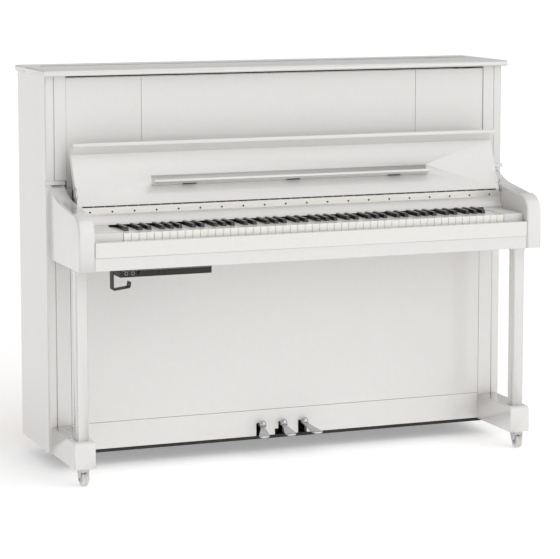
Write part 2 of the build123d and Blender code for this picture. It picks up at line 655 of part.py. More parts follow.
# ============================================================ the fallboard
# Board axes: x along the board from its hinge, y out of its inner face.
lean = math.radians(FALL_LEAN)
tilt = math.radians(FALL_TILT)
fall_plane = Plane(
    origin=(-FALL_HALF, HINGE_Y, HINGE_Z),
    x_dir=(0, math.sin(lean), math.cos(lean)),
    z_dir=(1, 0, 0),
)
lip_tip = (FALL_LENGTH + LIP_LENGTH * math.sin(tilt), LIP_LENGTH * math.cos(tilt))
lip_out = (lip_tip[0] + LIP_THICK * math.cos(tilt), lip_tip[1] - LIP_THICK * math.sin(tilt))
heel_run = (lip_out[1] + FALL_THICK) / math.cos(tilt)
heel = (lip_out[0] - heel_run * math.sin(tilt), -FALL_THICK)
shelf_half = SHELF_WIDTH / 2
with BuildPart() as fallboard:
    with BuildSketch(fall_plane):
        Polygon((FALL_ROOT, 0), (FALL_LENGTH, 0), lip_tip, lip_out, heel,
                (FALL_ROOT, -FALL_THICK), align=None)
    extrude(amount=2 * FALL_HALF)
    lip_edges = fallboard.edges().filter_by(Axis.X).group_by(Axis.Z)
    fillet(lip_edges[-1] + lip_edges[-2], FALL_EDGE_R)
    recess_plane = fall_plane.offset(FALL_HALF - shelf_half - SEAT_GAP)
    with BuildSketch(recess_plane):
        with Locations((SHELF_AT - SEAT_GAP, -SHELF_THICK - SEAT_GAP)):
            Rectangle(SHELF_DEPTH + 3 * SEAT_GAP, 2 * SHELF_THICK, align=(Align.MIN, Align.MIN))
    extrude(amount=SHELF_WIDTH + 2 * SEAT_GAP, mode=Mode.SUBTRACT)
save(fallboard.part, "fallboard")

# The music shelf turns about its lower root edge and folds up into the recess.
with BuildPart() as music_shelf:
    with BuildSketch(fall_plane.offset(FALL_HALF - shelf_half)):
        with Locations((SHELF_AT, 0)):
            Rectangle(SHELF_THICK, SHELF_DEPTH, align=(Align.MIN, Align.MIN))
    extrude(amount=SHELF_WIDTH)
    shelf_rim = music_shelf.edges().filter_by(Axis.X).group_by(Axis.Y)[0]
    fillet(shelf_rim, PANEL_EDGE_R)
save(music_shelf.part, "music_shelf")

# The name strip closes the gap between the fallboard's hinge and the keys. Behind it a ledge
# and an upstand close the case below the upper panel, so a closed fallboard hides the action.
strip_half = ARM_IN - SEAT_GAP
ledge_back = CASE_Y - 2 * SEAT_GAP
ledge_low = STRIP_TOP - LEDGE_THICK
upstand_top = UPPER_PANEL_BOTTOM + UPSTAND_LAP
with BuildPart() as name_strip:
    with BuildSketch(Plane.YZ.offset(-strip_half)):
        with BuildLine():
            top_front = (HINGE_Y - LEAF_THICK, STRIP_TOP)
            face_end = (HINGE_Y - LEAF_THICK, STRIP_TOP - LEAF_HEIGHT)
            step = (HINGE_Y - 2 * LEAF_THICK, STRIP_TOP - LEAF_HEIGHT)
            foot = (strip_foot_y, STRIP_BOTTOM)
            belly = (HINGE_Y - 0.30 * STRIP_FLARE, STRIP_BOTTOM + 0.38 * (step[1] - STRIP_BOTTOM))
            Polyline(top_front, face_end, step)
            ThreePointArc(step, belly, foot)
            Polyline(foot, (block_back_y, STRIP_BOTTOM), (HINGE_Y + STRIP_THICK / 2, ledge_low),
                     (ledge_back, ledge_low), (ledge_back, upstand_top),
                     (ledge_back - UPSTAND_THICK, upstand_top),
                     (ledge_back - UPSTAND_THICK, STRIP_TOP), top_front)
        make_face()
    extrude(amount=2 * strip_half)
save(name_strip.part, "name_strip")

# The fallboard's long hinge: a screwed leaf on the name strip and its barrel.
leaf_half = FALL_HALF - 2.0
leaf_front = HINGE_Y - 2 * LEAF_THICK
leaf_middle = STRIP_TOP - LEAF_HEIGHT / 2
with BuildPart() as fallboard_hinge:
    add(slab(-leaf_half, leaf_half, leaf_front, HINGE_Y - LEAF_THICK,
             STRIP_TOP - LEAF_HEIGHT + 0.2, HINGE_Z - 1))
    with Locations(Plane.YZ.offset(-leaf_half)):
        with Locations((HINGE_Y, HINGE_Z)):
            Cylinder(FALL_BARREL_R, 2 * leaf_half, align=(Align.CENTER, Align.CENTER, Align.MIN))
    with BuildSketch(Plane.XZ.offset(-leaf_front)):
        with GridLocations(2 * leaf_half / SCREW_COUNT, 1, SCREW_COUNT, 1):
            with Locations((0, leaf_middle)):
                Circle(SCREW_R)
    extrude(amount=SCREW_PROUD)
save(fallboard_hinge.part, "fallboard_hinge")

# =================================================================== pedals
tail_y = CASE_Y + PEDAL_TAIL_RUN


def pedal(x, splay):
    """Return one pedal: lever bar, pivot pin, round heel and spread toe."""
    toe_y = CASE_Y - PEDAL_REACH
    heel_y = CASE_Y - 18.0
    bar_top = PEDAL_BAR_Z + PEDAL_BAR_THICK
    half = PEDAL_TOE_WIDTH / 2
    waist = PEDAL_BAR_WIDTH / 2
    with BuildPart() as lever:
        with BuildSketch(Plane.YZ.offset(x + splay - PEDAL_TOE_WIDTH)):
            Polygon((toe_y, PEDAL_TOE_Z), (heel_y, PEDAL_BAR_Z), (tail_y, PEDAL_BAR_Z),
                    (tail_y, bar_top), (heel_y, bar_top), (toe_y + 8, PEDAL_TOE_Z + PEDAL_TOE_THICK),
                    (toe_y, PEDAL_TOE_Z + PEDAL_TOE_THICK - 2), align=None)
        extrude(amount=2 * PEDAL_TOE_WIDTH)
        with BuildSketch(Plane.XY.offset(PEDAL_TOE_Z - 5)):
            with BuildLine():
                tip_left = (x + splay - half, toe_y + 12)
                tip_right = (x + splay + half, toe_y + 12)
                toe_arc = ThreePointArc(tip_left, (x + splay, toe_y), tip_right)
                Polyline(toe_arc @ 1, (x + waist, heel_y), (x + waist, tail_y), (x - waist, tail_y),
                         (x - waist, heel_y), toe_arc @ 0)
            make_face()
        extrude(amount=60, mode=Mode.INTERSECT)
        with Locations((x, heel_y, bar_top - 2)):
            Sphere(PEDAL_BALL_R)
        pin_half = waist + RUN_GAP + pivot_block[0]
        with Locations(Plane.YZ.offset(x - pin_half)):
            with Locations((pivot_y, pivot_z)):
                Cylinder(PEDAL_PIN_R, 2 * pin_half, align=(Align.CENTER, Align.CENTER, Align.MIN))
    return lever.part


save(pedal(PEDAL_X[0], -PEDAL_SPLAY), "pedal_left")
save(pedal(PEDAL_X[1], 0.0), "pedal_middle")
save(pedal(PEDAL_X[2], PEDAL_SPLAY), "pedal_right")

# A rod stands over each pedal's tail and lifts its part of the action.
rod_low = PEDAL_BAR_Z + PEDAL_BAR_THICK + ROD_SHIM
for rod_x, rod_name in zip(PEDAL_X, ("left", "middle", "right")):
    with BuildPart() as rod:
        with Locations((rod_x, CASE_Y + ROD_RUN, rod_low)):
            Cylinder(ROD_R, ROD_TOP - rod_low, align=(Align.CENTER, Align.CENTER, Align.MIN))
    save(rod.part, f"pedal_rod_{rod_name}")

# =============================================================== back frame
post_xs = [(i - (POST_COUNT - 1) / 2) * (2 * BACK_HALF - POST_WIDTH) / (POST_COUNT - 1)
           for i in range(POST_COUNT)]
with BuildPart() as back_frame:
    post_low = BACK_LOW + BEAM_HEIGHT
    post_top = BACK_TOP - BEAM_HEIGHT
    for post_x in post_xs:
        add(slab(post_x - POST_WIDTH / 2, post_x + POST_WIDTH / 2, POST_FRONT_Y, BACK_Y,
                 post_low + RUN_GAP, post_top - RUN_GAP))
    add(slab(-BACK_HALF, BACK_HALF, POST_FRONT_Y, BACK_Y - SEAT_GAP, post_top, BACK_TOP))
    add(slab(-BACK_HALF, BACK_HALF, POST_FRONT_Y, BACK_Y - SEAT_GAP, BACK_LOW, post_low))
save(back_frame.part, "back_frame")

pin_block = slab(-BACK_HALF, BACK_HALF, PLATE_BACK_Y + SEAT_GAP, POST_FRONT_Y - SEAT_GAP,
                 BOARD_TOP + RUN_GAP, PLATE_TOP + 25)
save(pin_block, "pin_block")

# The soundboard has slanting ribs glued across its back.
with BuildPart() as ribs:
    with BuildSketch(Plane.XZ.offset(-BOARD_BACK_Y)):
        for i in range(RIB_COUNT):
            rib_x = (i - (RIB_COUNT - 1) / 2) * 2 * BACK_HALF / RIB_COUNT
            with Locations(Location((rib_x, (BOARD_LOW + BOARD_TOP) / 2, 0), (0, 0, RIB_ANGLE))):
                Rectangle(2 * BACK_HALF, RIB_WIDTH)
    extrude(amount=-RIB_THICK + SEAT_GAP)
    add(slab(-BACK_HALF + 30, BACK_HALF - 30, BOARD_BACK_Y - 1, BACK_Y, BOARD_LOW + 30, BOARD_TOP - 30),
        mode=Mode.INTERSECT)
with BuildPart() as soundboard:
    add(slab(-BACK_HALF, BACK_HALF, BOARD_FRONT_Y, BOARD_BACK_Y, BOARD_LOW, BOARD_TOP))
    add(ribs.part)
save(soundboard.part, "soundboard")

# ================================================================== strings
# Each string is listed as its note, X at the hammer, radius and Y.
strings = []
for note in range(NOTE_COUNT):
    if note < SINGLE_STRUNG:
        offsets = (0.0,)
    elif note < BASS_NOTES:
        offsets = (-STRING_SPREAD / 2, STRING_SPREAD / 2)
    else:
        offsets = (-STRING_SPREAD, 0.0, STRING_SPREAD)
    strings += [(note, key_centre(note) + offset) for offset in offsets]


def foot_of(note):
    """Return the height at which a note's strings cross their bridge."""
    if note < BASS_NOTES:
        return BASS_FOOT + note * 1.4
    length = SHORTEST_STRING * STRING_GROWTH ** (NOTE_COUNT - 1 - note)
    return NUT_Z - length


def string_x(note, x, z):
    """Return a leaning string's X at height z, from its X at the hammer."""
    lean_angle = BASS_LEAN if note < BASS_NOTES else -TREBLE_LEAN
    return x + (STRIKE_Z - z) * math.tan(math.radians(lean_angle))


pin_places = []
wires = []
for number, (note, x) in enumerate(strings):
    bass = note < BASS_NOTES
    wire_y = BASS_Y if bass else TREBLE_Y
    wire_top = PIN_ROW_LOW - PIN_R - 2 * RUN_GAP
    wire_foot = foot_of(note) - HITCH_DROP
    top = Vector(string_x(note, x, wire_top), wire_y, wire_top)
    hitch = Vector(string_x(note, x, wire_foot), wire_y, wire_foot)
    pin_places.append((top.X, PIN_ROW_LOW + (number % PIN_ROWS) * PIN_ROW_PITCH))
    wire_plane = Plane(origin=hitch, z_dir=top - hitch)
    radius = BASS_WIRE_R if bass else TREBLE_WIRE_R
    upright = (Align.CENTER, Align.CENTER, Align.MIN)
    wires.append(wire_plane * Cylinder(radius, (top - hitch).length, align=upright))
save(Compound(wires), "strings")

with BuildPart() as tuning_pins:
    with BuildSketch(Plane.XZ.offset(-PLATE_FRONT_Y - PIN_SEAT)):
        with Locations(*pin_places):
            Circle(PIN_R)
    extrude(amount=PIN_SEAT + PIN_STAND)
save(tuning_pins.part, "tuning_pins")

# The treble bridge follows the strings' feet in one curve. The bass bridge is straight.
bridge_notes = (BASS_NOTES, 36, 48, 60, 72, NOTE_COUNT - 1)
treble_path = [(string_x(n, key_centre(n), foot_of(n)), foot_of(n)) for n in bridge_notes]
bass_ends = [(string_x(n, key_centre(n), foot_of(n)), foot_of(n)) for n in (0, BASS_NOTES - 1)]


def ribbon(points, width):
    """Return a sketch of a band along a smooth curve through points."""
    with BuildSketch() as band:
        with BuildLine():
            spine = Spline(*points) if len(points) > 2 else Line(*points)
        trace(spine, width)
    return band.sketch


with BuildPart() as bridges:
    with BuildSketch(Plane.XZ.offset(-BOARD_FRONT_Y)):
        add(ribbon(treble_path, BRIDGE_WIDTH))
    extrude(amount=BOARD_FRONT_Y - TREBLE_Y - TREBLE_WIRE_R - 0.2)
    with BuildSketch(Plane.XZ.offset(-BOARD_FRONT_Y)):
        add(ribbon(bass_ends, BRIDGE_WIDTH))
    extrude(amount=BOARD_FRONT_Y - BASS_Y - BASS_WIRE_R - 0.2)
save(bridges.part, "bridges")

# The iron plate: pin field on top, hitch field below the treble bridge, a
# window along each bridge, and struts from top to bottom in front.
plate_half = BACK_HALF - 4
window_room = BRIDGE_WIDTH / 2 + 12
upper_line = NUT_Z - 18
left_bay = -plate_half + PLATE_MARGIN
bay_right = treble_path[-1][0] + 2 * window_room
curve = [(x + 0.8 * window_room, z - 0.6 * window_room) for x, z in treble_path]
with BuildPart() as iron_plate:
    with BuildSketch(Plane.XZ.offset(-PLATE_BACK_Y)):
        with BuildLine():
            Polyline((-plate_half, PLATE_LOW), (plate_half, PLATE_LOW), (plate_half, PLATE_TOP),
                     (-plate_half, PLATE_TOP), close=True)
        make_face()
        with BuildLine():
            lower = Spline(*curve)
            bay_foot = treble_path[0][0] - 2 * window_room
            Polyline(lower @ 1, (bay_right, curve[-1][1]), (bay_right, upper_line),
                     (left_bay, upper_line), (left_bay, BASS_FOOT + 90),
                     (bay_foot, BASS_FOOT + 90), (bay_foot, curve[0][1]), lower @ 0)
        make_face(mode=Mode.SUBTRACT)
        bass_mid = ((bass_ends[0][0] + bass_ends[1][0]) / 2, (bass_ends[0][1] + bass_ends[1][1]) / 2)
        bass_span = bass_ends[1][0] - bass_ends[0][0] + BRIDGE_WIDTH + 10
        bass_rise = bass_ends[1][1] - bass_ends[0][1] + BRIDGE_WIDTH + 10
        with Locations(bass_mid):
            Rectangle(bass_span, bass_rise, mode=Mode.SUBTRACT)
    extrude(amount=PLATE_THICK)
save(iron_plate.part, "iron_plate")

# ================================================================ the action
hammer_xs = [key_centre(note) for note in range(NOTE_COUNT)]
rail_span = (hammer_xs[0] - 30, hammer_xs[-1] + 30)
inner_brackets = [(hammer_xs[note - 1] + hammer_xs[note]) / 2 for note in BRACKET_NOTES]
with BuildPart() as action_frame:
    for x in (rail_span[0], *inner_brackets, rail_span[1]):
        with BuildSketch(Plane.YZ.offset(x - BRACKET_THICK / 2)):
            Polygon((CASE_Y + 108, KEYBED_TOP), (CASE_Y + 126, KEYBED_TOP), (CASE_Y + 126, MUTE_Z - 60),
                    (CASE_Y + 118, MUTE_Z + 45), (CASE_Y + 106, MUTE_Z + 45),
                    (CASE_Y + 106, DAMPER_Z + 40), (CASE_Y + 66, DAMPER_Z + 34),
                    (CASE_Y + 66, DAMPER_Z - 12), (CASE_Y + 108, DAMPER_Z - 20), align=None)
        extrude(amount=BRACKET_THICK)
    add(slab(rail_span[0], rail_span[1], CASE_Y + 78, CASE_Y + 100, DAMPER_Z - 4, DAMPER_Z + 26))
save(action_frame.part, "action_frame")

with BuildPart() as hammer:
    with BuildSketch(Plane.YZ.offset(-HAMMER_WIDTH / 2)):
        with BuildLine():
            nose = CASE_Y + HAMMER_NOSE_RUN
            heel_y = nose - 38
            low, high = STRIKE_Z - 15, STRIKE_Z + 15
            felt = Spline((heel_y, low + 3), (nose - 12, low + 1), (nose, STRIKE_Z),
                          (nose - 12, high - 1), (heel_y, high - 3))
            Line(felt @ 1, felt @ 0)
        make_face()
    extrude(amount=HAMMER_WIDTH)
    with Locations((0, BUTT_Y, BUTT_Z)):
        Box(8, 16, 26)
    with Locations((0, BUTT_Y, BUTT_Z + 12)):
        Cylinder(SHANK_R, STRIKE_Z - BUTT_Z - 20, align=(Align.CENTER, Align.CENTER, Align.MIN))
with BuildPart() as hammers:
    with Locations(*[(x, 0, 0) for x in hammer_xs]):
        add(hammer.part)
save(hammers.part, "hammers")

rest_front = BUTT_Y - SHANK_R - RUN_GAP
hammer_rest_rail = rounded_slab(rail_span[0], rail_span[1], rest_front - 20, rest_front,
                                REST_RAIL_Z, REST_RAIL_Z + 26, TRIM)
save(hammer_rest_rail, "hammer_rest_rail")

with BuildPart() as dampers:
    for low_note, high_note, wire_y in ((0, BASS_NOTES, BASS_Y - BASS_WIRE_R),
                                        (TREBLE_DAMPER, DAMPER_NOTES, TREBLE_Y - TREBLE_WIRE_R)):
        face_y = wire_y - RUN_GAP
        with BuildPart() as damper:
            add(slab(-HAMMER_WIDTH / 2, HAMMER_WIDTH / 2, face_y - 12, face_y,
                     DAMPER_Z + 82, DAMPER_Z + 122))
            add(slab(-3, 3, DAMPER_Y - 3, face_y - 10, DAMPER_Z + 86, DAMPER_Z + 92))
            add(slab(-3, 3, DAMPER_Y - 4, DAMPER_Y + 4, DAMPER_Z - 4, DAMPER_Z + 92))
        with Locations(*[(x, 0, 0) for x in hammer_xs[low_note:high_note]]):
            add(damper.part)
save(dampers.part, "dampers")

mute_y = BASS_Y - BASS_WIRE_R - 2.5
with BuildPart() as mute_rail:
    add(slab(rail_span[0], rail_span[1], mute_y - 9, mute_y - 2.5, MUTE_Z, MUTE_Z + 18))
    add(slab(rail_span[0], rail_span[1], mute_y - 2.5, mute_y, MUTE_Z - 20, MUTE_Z + 12))
save(mute_rail.part, "mute_rail")

# ================================================================== casters
hub_half = TREAD_WIDTH + TREAD_GROOVE / 2
fork_in = hub_half + FORK_GAP
front_axle_y = FRONT_Y + FRONT_CASTER_SETBACK
rear_axle_y = BACK_Y - REAR_CASTER_INSET
rear_x = leg_x - 30


def caster_wheel(x, axle_y):
    """Return a twin-tread wheel and its axle."""
    with BuildPart() as wheel:
        with BuildSketch(Plane.XZ.offset(-axle_y)):
            with BuildLine():
                half_groove = TREAD_GROOVE / 2
                Polyline((x - hub_half, WHEEL_R), (x - hub_half, 3.0), (x - hub_half + 2, 0),
                         (x - half_groove - 2, 0), (x - half_groove, 3.0), (x + half_groove, 3.0),
                         (x + half_groove + 2, 0), (x + hub_half - 2, 0), (x + hub_half, 3.0),
                         (x + hub_half, WHEEL_R), close=True)
            make_face()
        revolve(axis=Axis((x, axle_y, WHEEL_R), (1, 0, 0)))
        axle_half = fork_in + FORK_THICK
        with Locations(Plane.YZ.offset(x - axle_half)):
            with Locations((axle_y, WHEEL_R)):
                Cylinder(AXLE_R, 2 * axle_half, align=(Align.CENTER, Align.CENTER, Align.MIN))
    return wheel.part


def caster_fork(x, axle_y, top, rake):
    """Return a bent-plate fork, its cheeks raked towards the axle."""
    with BuildPart() as fork:
        head_y = axle_y + rake
        outer = fork_in + FORK_THICK
        add(slab(x - outer, x + outer, head_y - 18, head_y + 18, top - FORK_THICK, top))
        for cheek_x in (x - outer, x + fork_in):
            with BuildSketch(Plane.YZ.offset(cheek_x)):
                Polygon((head_y - 18, top - 1), (head_y + 18, top - 1), (axle_y + 8, WHEEL_R - 6),
                        (axle_y - 8, WHEEL_R - 6), align=None)
            extrude(amount=FORK_THICK)
        with Locations(Plane.YZ.offset(x - outer - 1)):
            with Locations((axle_y, WHEEL_R)):
                Cylinder(AXLE_R + AXLE_PLAY, 2 * outer + 2,
                         align=(Align.CENTER, Align.CENTER, Align.MIN), mode=Mode.SUBTRACT)
    return fork.part


caster_places = {
    "front_left": (-leg_x, front_axle_y, TOE_LOW, 8.0),
    "front_right": (leg_x, front_axle_y, TOE_LOW, 8.0),
    "rear_left": (-rear_x, rear_axle_y, BOTTOM_BOARD_LOW, 0.0),
    "rear_right": (rear_x, rear_axle_y, BOTTOM_BOARD_LOW, 0.0),
}
for corner, (x, axle_y, top, rake) in caster_places.items():
    save(caster_wheel(x, axle_y), f"caster_wheel_{corner}")
with BuildPart() as caster_forks:
    for x, axle_y, top, rake in caster_places.values():
        add(caster_fork(x, axle_y, top, rake))
save(caster_forks.part, "caster_forks")

# ======================================================= control box and hook
box_x = -ARM_IN + BOX_LEFT
box_y = FRONT_Y + BOX_SETBACK
box_low = KEYBED_LOW - BOX_HEIGHT
box_mid = KEYBED_LOW - BOX_HEIGHT / 2
with BuildPart() as control_box:
    add(rounded_slab(box_x, box_x + BOX_LENGTH, box_y, box_y + BOX_DEPTH, box_low, KEYBED_LOW,
                     1.0, front_edges))
    with BuildSketch(Plane.XZ.offset(-box_y)):
        with Locations(*[(box_x + at, box_mid) for at in JACK_AT]):
            Circle(JACK_R)
    extrude(amount=-JACK_DEPTH, mode=Mode.SUBTRACT)
    with BuildSketch(Plane.XZ.offset(-box_y)):
        with Locations((box_x + KNOB_AT, box_mid)):
            Circle(KNOB_R + SEAT_GAP)
        with Locations((box_x + BUTTON_AT, box_mid)):
            Circle(BUTTON_R + SEAT_GAP)
    extrude(amount=-8.0, mode=Mode.SUBTRACT)
    with BuildSketch(Plane.YZ.offset(box_x + BOX_LENGTH)):
        with Locations((box_y + BOX_DEPTH / 2, box_mid)):
            Circle(INLET_R)
    extrude(amount=-INLET_DEPTH, mode=Mode.SUBTRACT)
save(control_box.part, "control_box")

with BuildPart() as volume_knob:
    with BuildSketch(Plane.XZ.offset(-box_y - 6.0)):
        with Locations((box_x + KNOB_AT, box_mid)):
            Circle(KNOB_R)
    extrude(amount=6.0 + KNOB_PROUD)
    fillet(volume_knob.edges().group_by(Axis.Y)[0], 0.8)
save(volume_knob.part, "volume_knob")

with BuildPart() as power_button:
    with BuildSketch(Plane.XZ.offset(-box_y - 5.0)):
        with Locations((box_x + BUTTON_AT, box_mid)):
            Circle(BUTTON_R)
    extrude(amount=5.0 + BUTTON_PROUD)
    fillet(power_button.edges().group_by(Axis.Y)[0], 0.6)
save(power_button.part, "power_button")

# The headphone hook is one bent strip, screwed under the keybed.
hook_right = box_x - 6.0
hook_x = hook_right - 15.0
hook_low = KEYBED_LOW - HOOK_DROP
with BuildPart() as headphone_hook:
    with BuildSketch(Plane.XZ.offset(-box_y - HOOK_WIDTH)):
        with BuildLine():
            hook_line = FilletPolyline(
                (hook_right, KEYBED_LOW - HOOK_STRIP / 2), (hook_x, KEYBED_LOW - HOOK_STRIP / 2),
                (hook_x, hook_low), (hook_x + HOOK_REACH, hook_low + 6),
                (hook_x + HOOK_REACH + 3, hook_low + 6 + HOOK_TIP), radius=4.0)
        trace(hook_line, HOOK_STRIP)
    extrude(amount=HOOK_WIDTH)
save(headphone_hook.part, "headphone_hook")
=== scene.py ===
"""Finishes, small hardware, light and camera of a white upright piano."""

import logging
import math
from dataclasses import dataclass, field
from enum import Enum
from typing import Any, Iterable, Sequence

import bpy
from mathutils import Matrix, Vector


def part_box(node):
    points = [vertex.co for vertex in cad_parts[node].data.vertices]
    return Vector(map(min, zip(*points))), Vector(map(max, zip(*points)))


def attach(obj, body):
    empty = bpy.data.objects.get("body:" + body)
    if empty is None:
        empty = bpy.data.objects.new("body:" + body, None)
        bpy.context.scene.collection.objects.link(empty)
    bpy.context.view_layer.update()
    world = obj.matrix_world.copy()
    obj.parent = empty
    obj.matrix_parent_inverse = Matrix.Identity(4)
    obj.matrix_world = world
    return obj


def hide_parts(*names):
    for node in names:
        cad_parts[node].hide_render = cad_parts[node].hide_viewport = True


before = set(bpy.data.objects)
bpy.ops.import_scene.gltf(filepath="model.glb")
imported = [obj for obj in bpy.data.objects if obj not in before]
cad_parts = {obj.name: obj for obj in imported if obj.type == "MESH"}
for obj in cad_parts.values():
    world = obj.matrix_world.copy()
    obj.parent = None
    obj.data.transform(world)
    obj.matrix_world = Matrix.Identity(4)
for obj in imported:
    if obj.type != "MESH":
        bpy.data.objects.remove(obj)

LOG = logging.getLogger("piano")
Point = tuple[float, float, float]
MM = 0.001
WELD = 2e-6
SOFT_EDGE_DEG = 28.0


# ------------------------------------------------------------------ helpers
def linear(hex_colour: str) -> tuple[float, float, float, float]:
    """Turn an sRGB hex colour to linear light.

    Args:
        hex_colour: Six hex digits.

    Returns:
        Red, green, blue and an alpha of 1.
    """
    parts = [int(hex_colour[i:i + 2], 16) / 255 for i in (0, 2, 4)]
    red, green, blue = (p / 12.92 if p <= 0.04045 else ((p + 0.055) / 1.055) ** 2.4 for p in parts)
    return (red, green, blue, 1.0)


def add_node(tree: bpy.types.NodeTree, kind: str, inputs: dict[Any, Any] | None = None,
             **settings: Any) -> bpy.types.Node:
    """Add a node with its settings, values and links.

    Args:
        tree: The node tree.
        kind: The node's type name.
        inputs: Input name or number to a value, or to an output socket to link.
        settings: Attributes of the node.

    Returns:
        The new node.
    """
    node = tree.nodes.new(kind)
    for key, value in settings.items():
        setattr(node, key, value)
    for key, value in (inputs or {}).items():
        if isinstance(value, bpy.types.NodeSocket):
            tree.links.new(value, node.inputs[key])
        else:
            node.inputs[key].default_value = value
    return node


def only(piece: bpy.types.Object) -> bpy.types.Object:
    """Select one object alone, make it active and return it."""
    bpy.ops.object.select_all(action="DESELECT")
    piece.select_set(True)
    bpy.context.view_layer.objects.active = piece
    return piece


def settle(name: str, smooth_deg: float = 35.0) -> bpy.types.Object:
    """Name the active object, put its place in its mesh and smooth its soft edges.

    Args:
        name: The piece's name.
        smooth_deg: Edges flatter than this are shaded smooth.

    Returns:
        The object.
    """
    piece = bpy.context.object
    piece.name = piece.data.name = name
    only(piece)
    bpy.ops.object.transform_apply(location=True, rotation=True, scale=True)
    bpy.ops.object.shade_smooth_by_angle(angle=math.radians(smooth_deg))
    return piece


def bevel_edges(width: float, segments: int = 2, steeper_than_deg: float = 40.0) -> None:
    """Bevel the active object's sharp edges.

    Args:
        width: Bevel width in metres.
        segments: Number of segments.
        steeper_than_deg: Edges sharper than this are bevelled.
    """
    piece = bpy.context.object
    piece.modifiers.new("Bevel", "BEVEL").width = width
    piece.modifiers["Bevel"].segments = segments
    piece.modifiers["Bevel"].angle_limit = math.radians(steeper_than_deg)
    bpy.ops.object.modifier_apply(modifier="Bevel")


def round_bar(name: str, centre: Sequence[float], axis: str, radius: float, length: float,
              sides: int = 20, edge: float = 0.0) -> bpy.types.Object:
    """Make a turned bar with broken edges.

    Args:
        name: The piece's name.
        centre: The bar's middle.
        axis: "X", "Y" or "Z".
        radius: The bar's radius.
        length: The bar's length.
        sides: Faces round it.
        edge: Width of the broken edge.

    Returns:
        The object, with its place in its mesh.
    """
    bpy.ops.object.select_all(action="DESELECT")
    turn = {"X": (0, math.pi / 2, 0), "Y": (math.pi / 2, 0, 0), "Z": (0, 0, 0)}[axis]
    bpy.ops.mesh.primitive_cylinder_add(vertices=sides, radius=radius, depth=length,
                                        location=centre, rotation=turn)
    if edge:
        bevel_edges(edge)
    return settle(name)


def block(name: str, low: Sequence[float], high: Sequence[float], edge: float) -> bpy.types.Object:
    """Make a block with broken edges between two corners.

    Args:
        name: The piece's name.
        low: The lowest corner.
        high: The highest corner.
        edge: Width of the broken edges.

    Returns:
        The object, with its place in its mesh.
    """
    bpy.ops.object.select_all(action="DESELECT")
    centre = [(a + b) / 2 for a, b in zip(low, high)]
    size = [b - a for a, b in zip(low, high)]
    bpy.ops.mesh.primitive_cube_add(size=1.0, location=centre, scale=size)
    settle(name)
    bevel_edges(edge)
    return settle(name)


def join(pieces: Sequence[bpy.types.Object]) -> bpy.types.Object:
    """Join pieces into the first of them.

    Args:
        pieces: The pieces, of which the first gives its name.

    Returns:
        The joined object.
    """
    only(pieces[0])
    for piece in pieces[1:]:
        piece.select_set(True)
    bpy.ops.object.join()
    return pieces[0]


def copies(piece: bpy.types.Object, moves: Iterable[Sequence[float]]) -> bpy.types.Object:
    """Repeat a piece at each move and join all the copies into it.

    Args:
        piece: The piece, which is also the first copy.
        moves: Where each further copy goes, from the piece's own place.

    Returns:
        The joined object.
    """
    twins = []
    for move in moves:
        twin = piece.copy()
        twin.data = piece.data.copy()
        twin.data.transform(Matrix.Translation(Vector(move)))
        bpy.context.collection.objects.link(twin)
        twins.append(twin)
    return join([piece, *twins])


def row_along_x(piece: bpy.types.Object, count: int, pitch: float) -> bpy.types.Object:
    """Repeat a piece along X, pitch apart, until there are count of it."""
    return copies(piece, [(i * pitch, 0, 0) for i in range(1, count)])


# ----------------------------------------------------------------- finishes
class Pattern(Enum):
    """How a surface's small variation is drawn."""

    MOTTLE = "mottle"
    GRAIN = "grain"
    BRUSHED = "brushed"
    FELT = "felt"
    CAST = "cast"


# Octaves of noise in each pattern, the spread of values that makes its contrast, and how much
# finer a casting's cells are than its noise.
NOISE_DETAIL = {Pattern.FELT: 6.0, Pattern.GRAIN: 4.0, Pattern.CAST: 5.0}
PLAIN_DETAIL = 2.0
GRAIN_WAVER = 0.6
GRAIN_RANGE = (0.38, 0.62)
PLAIN_RANGE = (0.25, 0.75)
CELL_SCALE = 1.7
LEAST_ROUGHNESS = 0.01


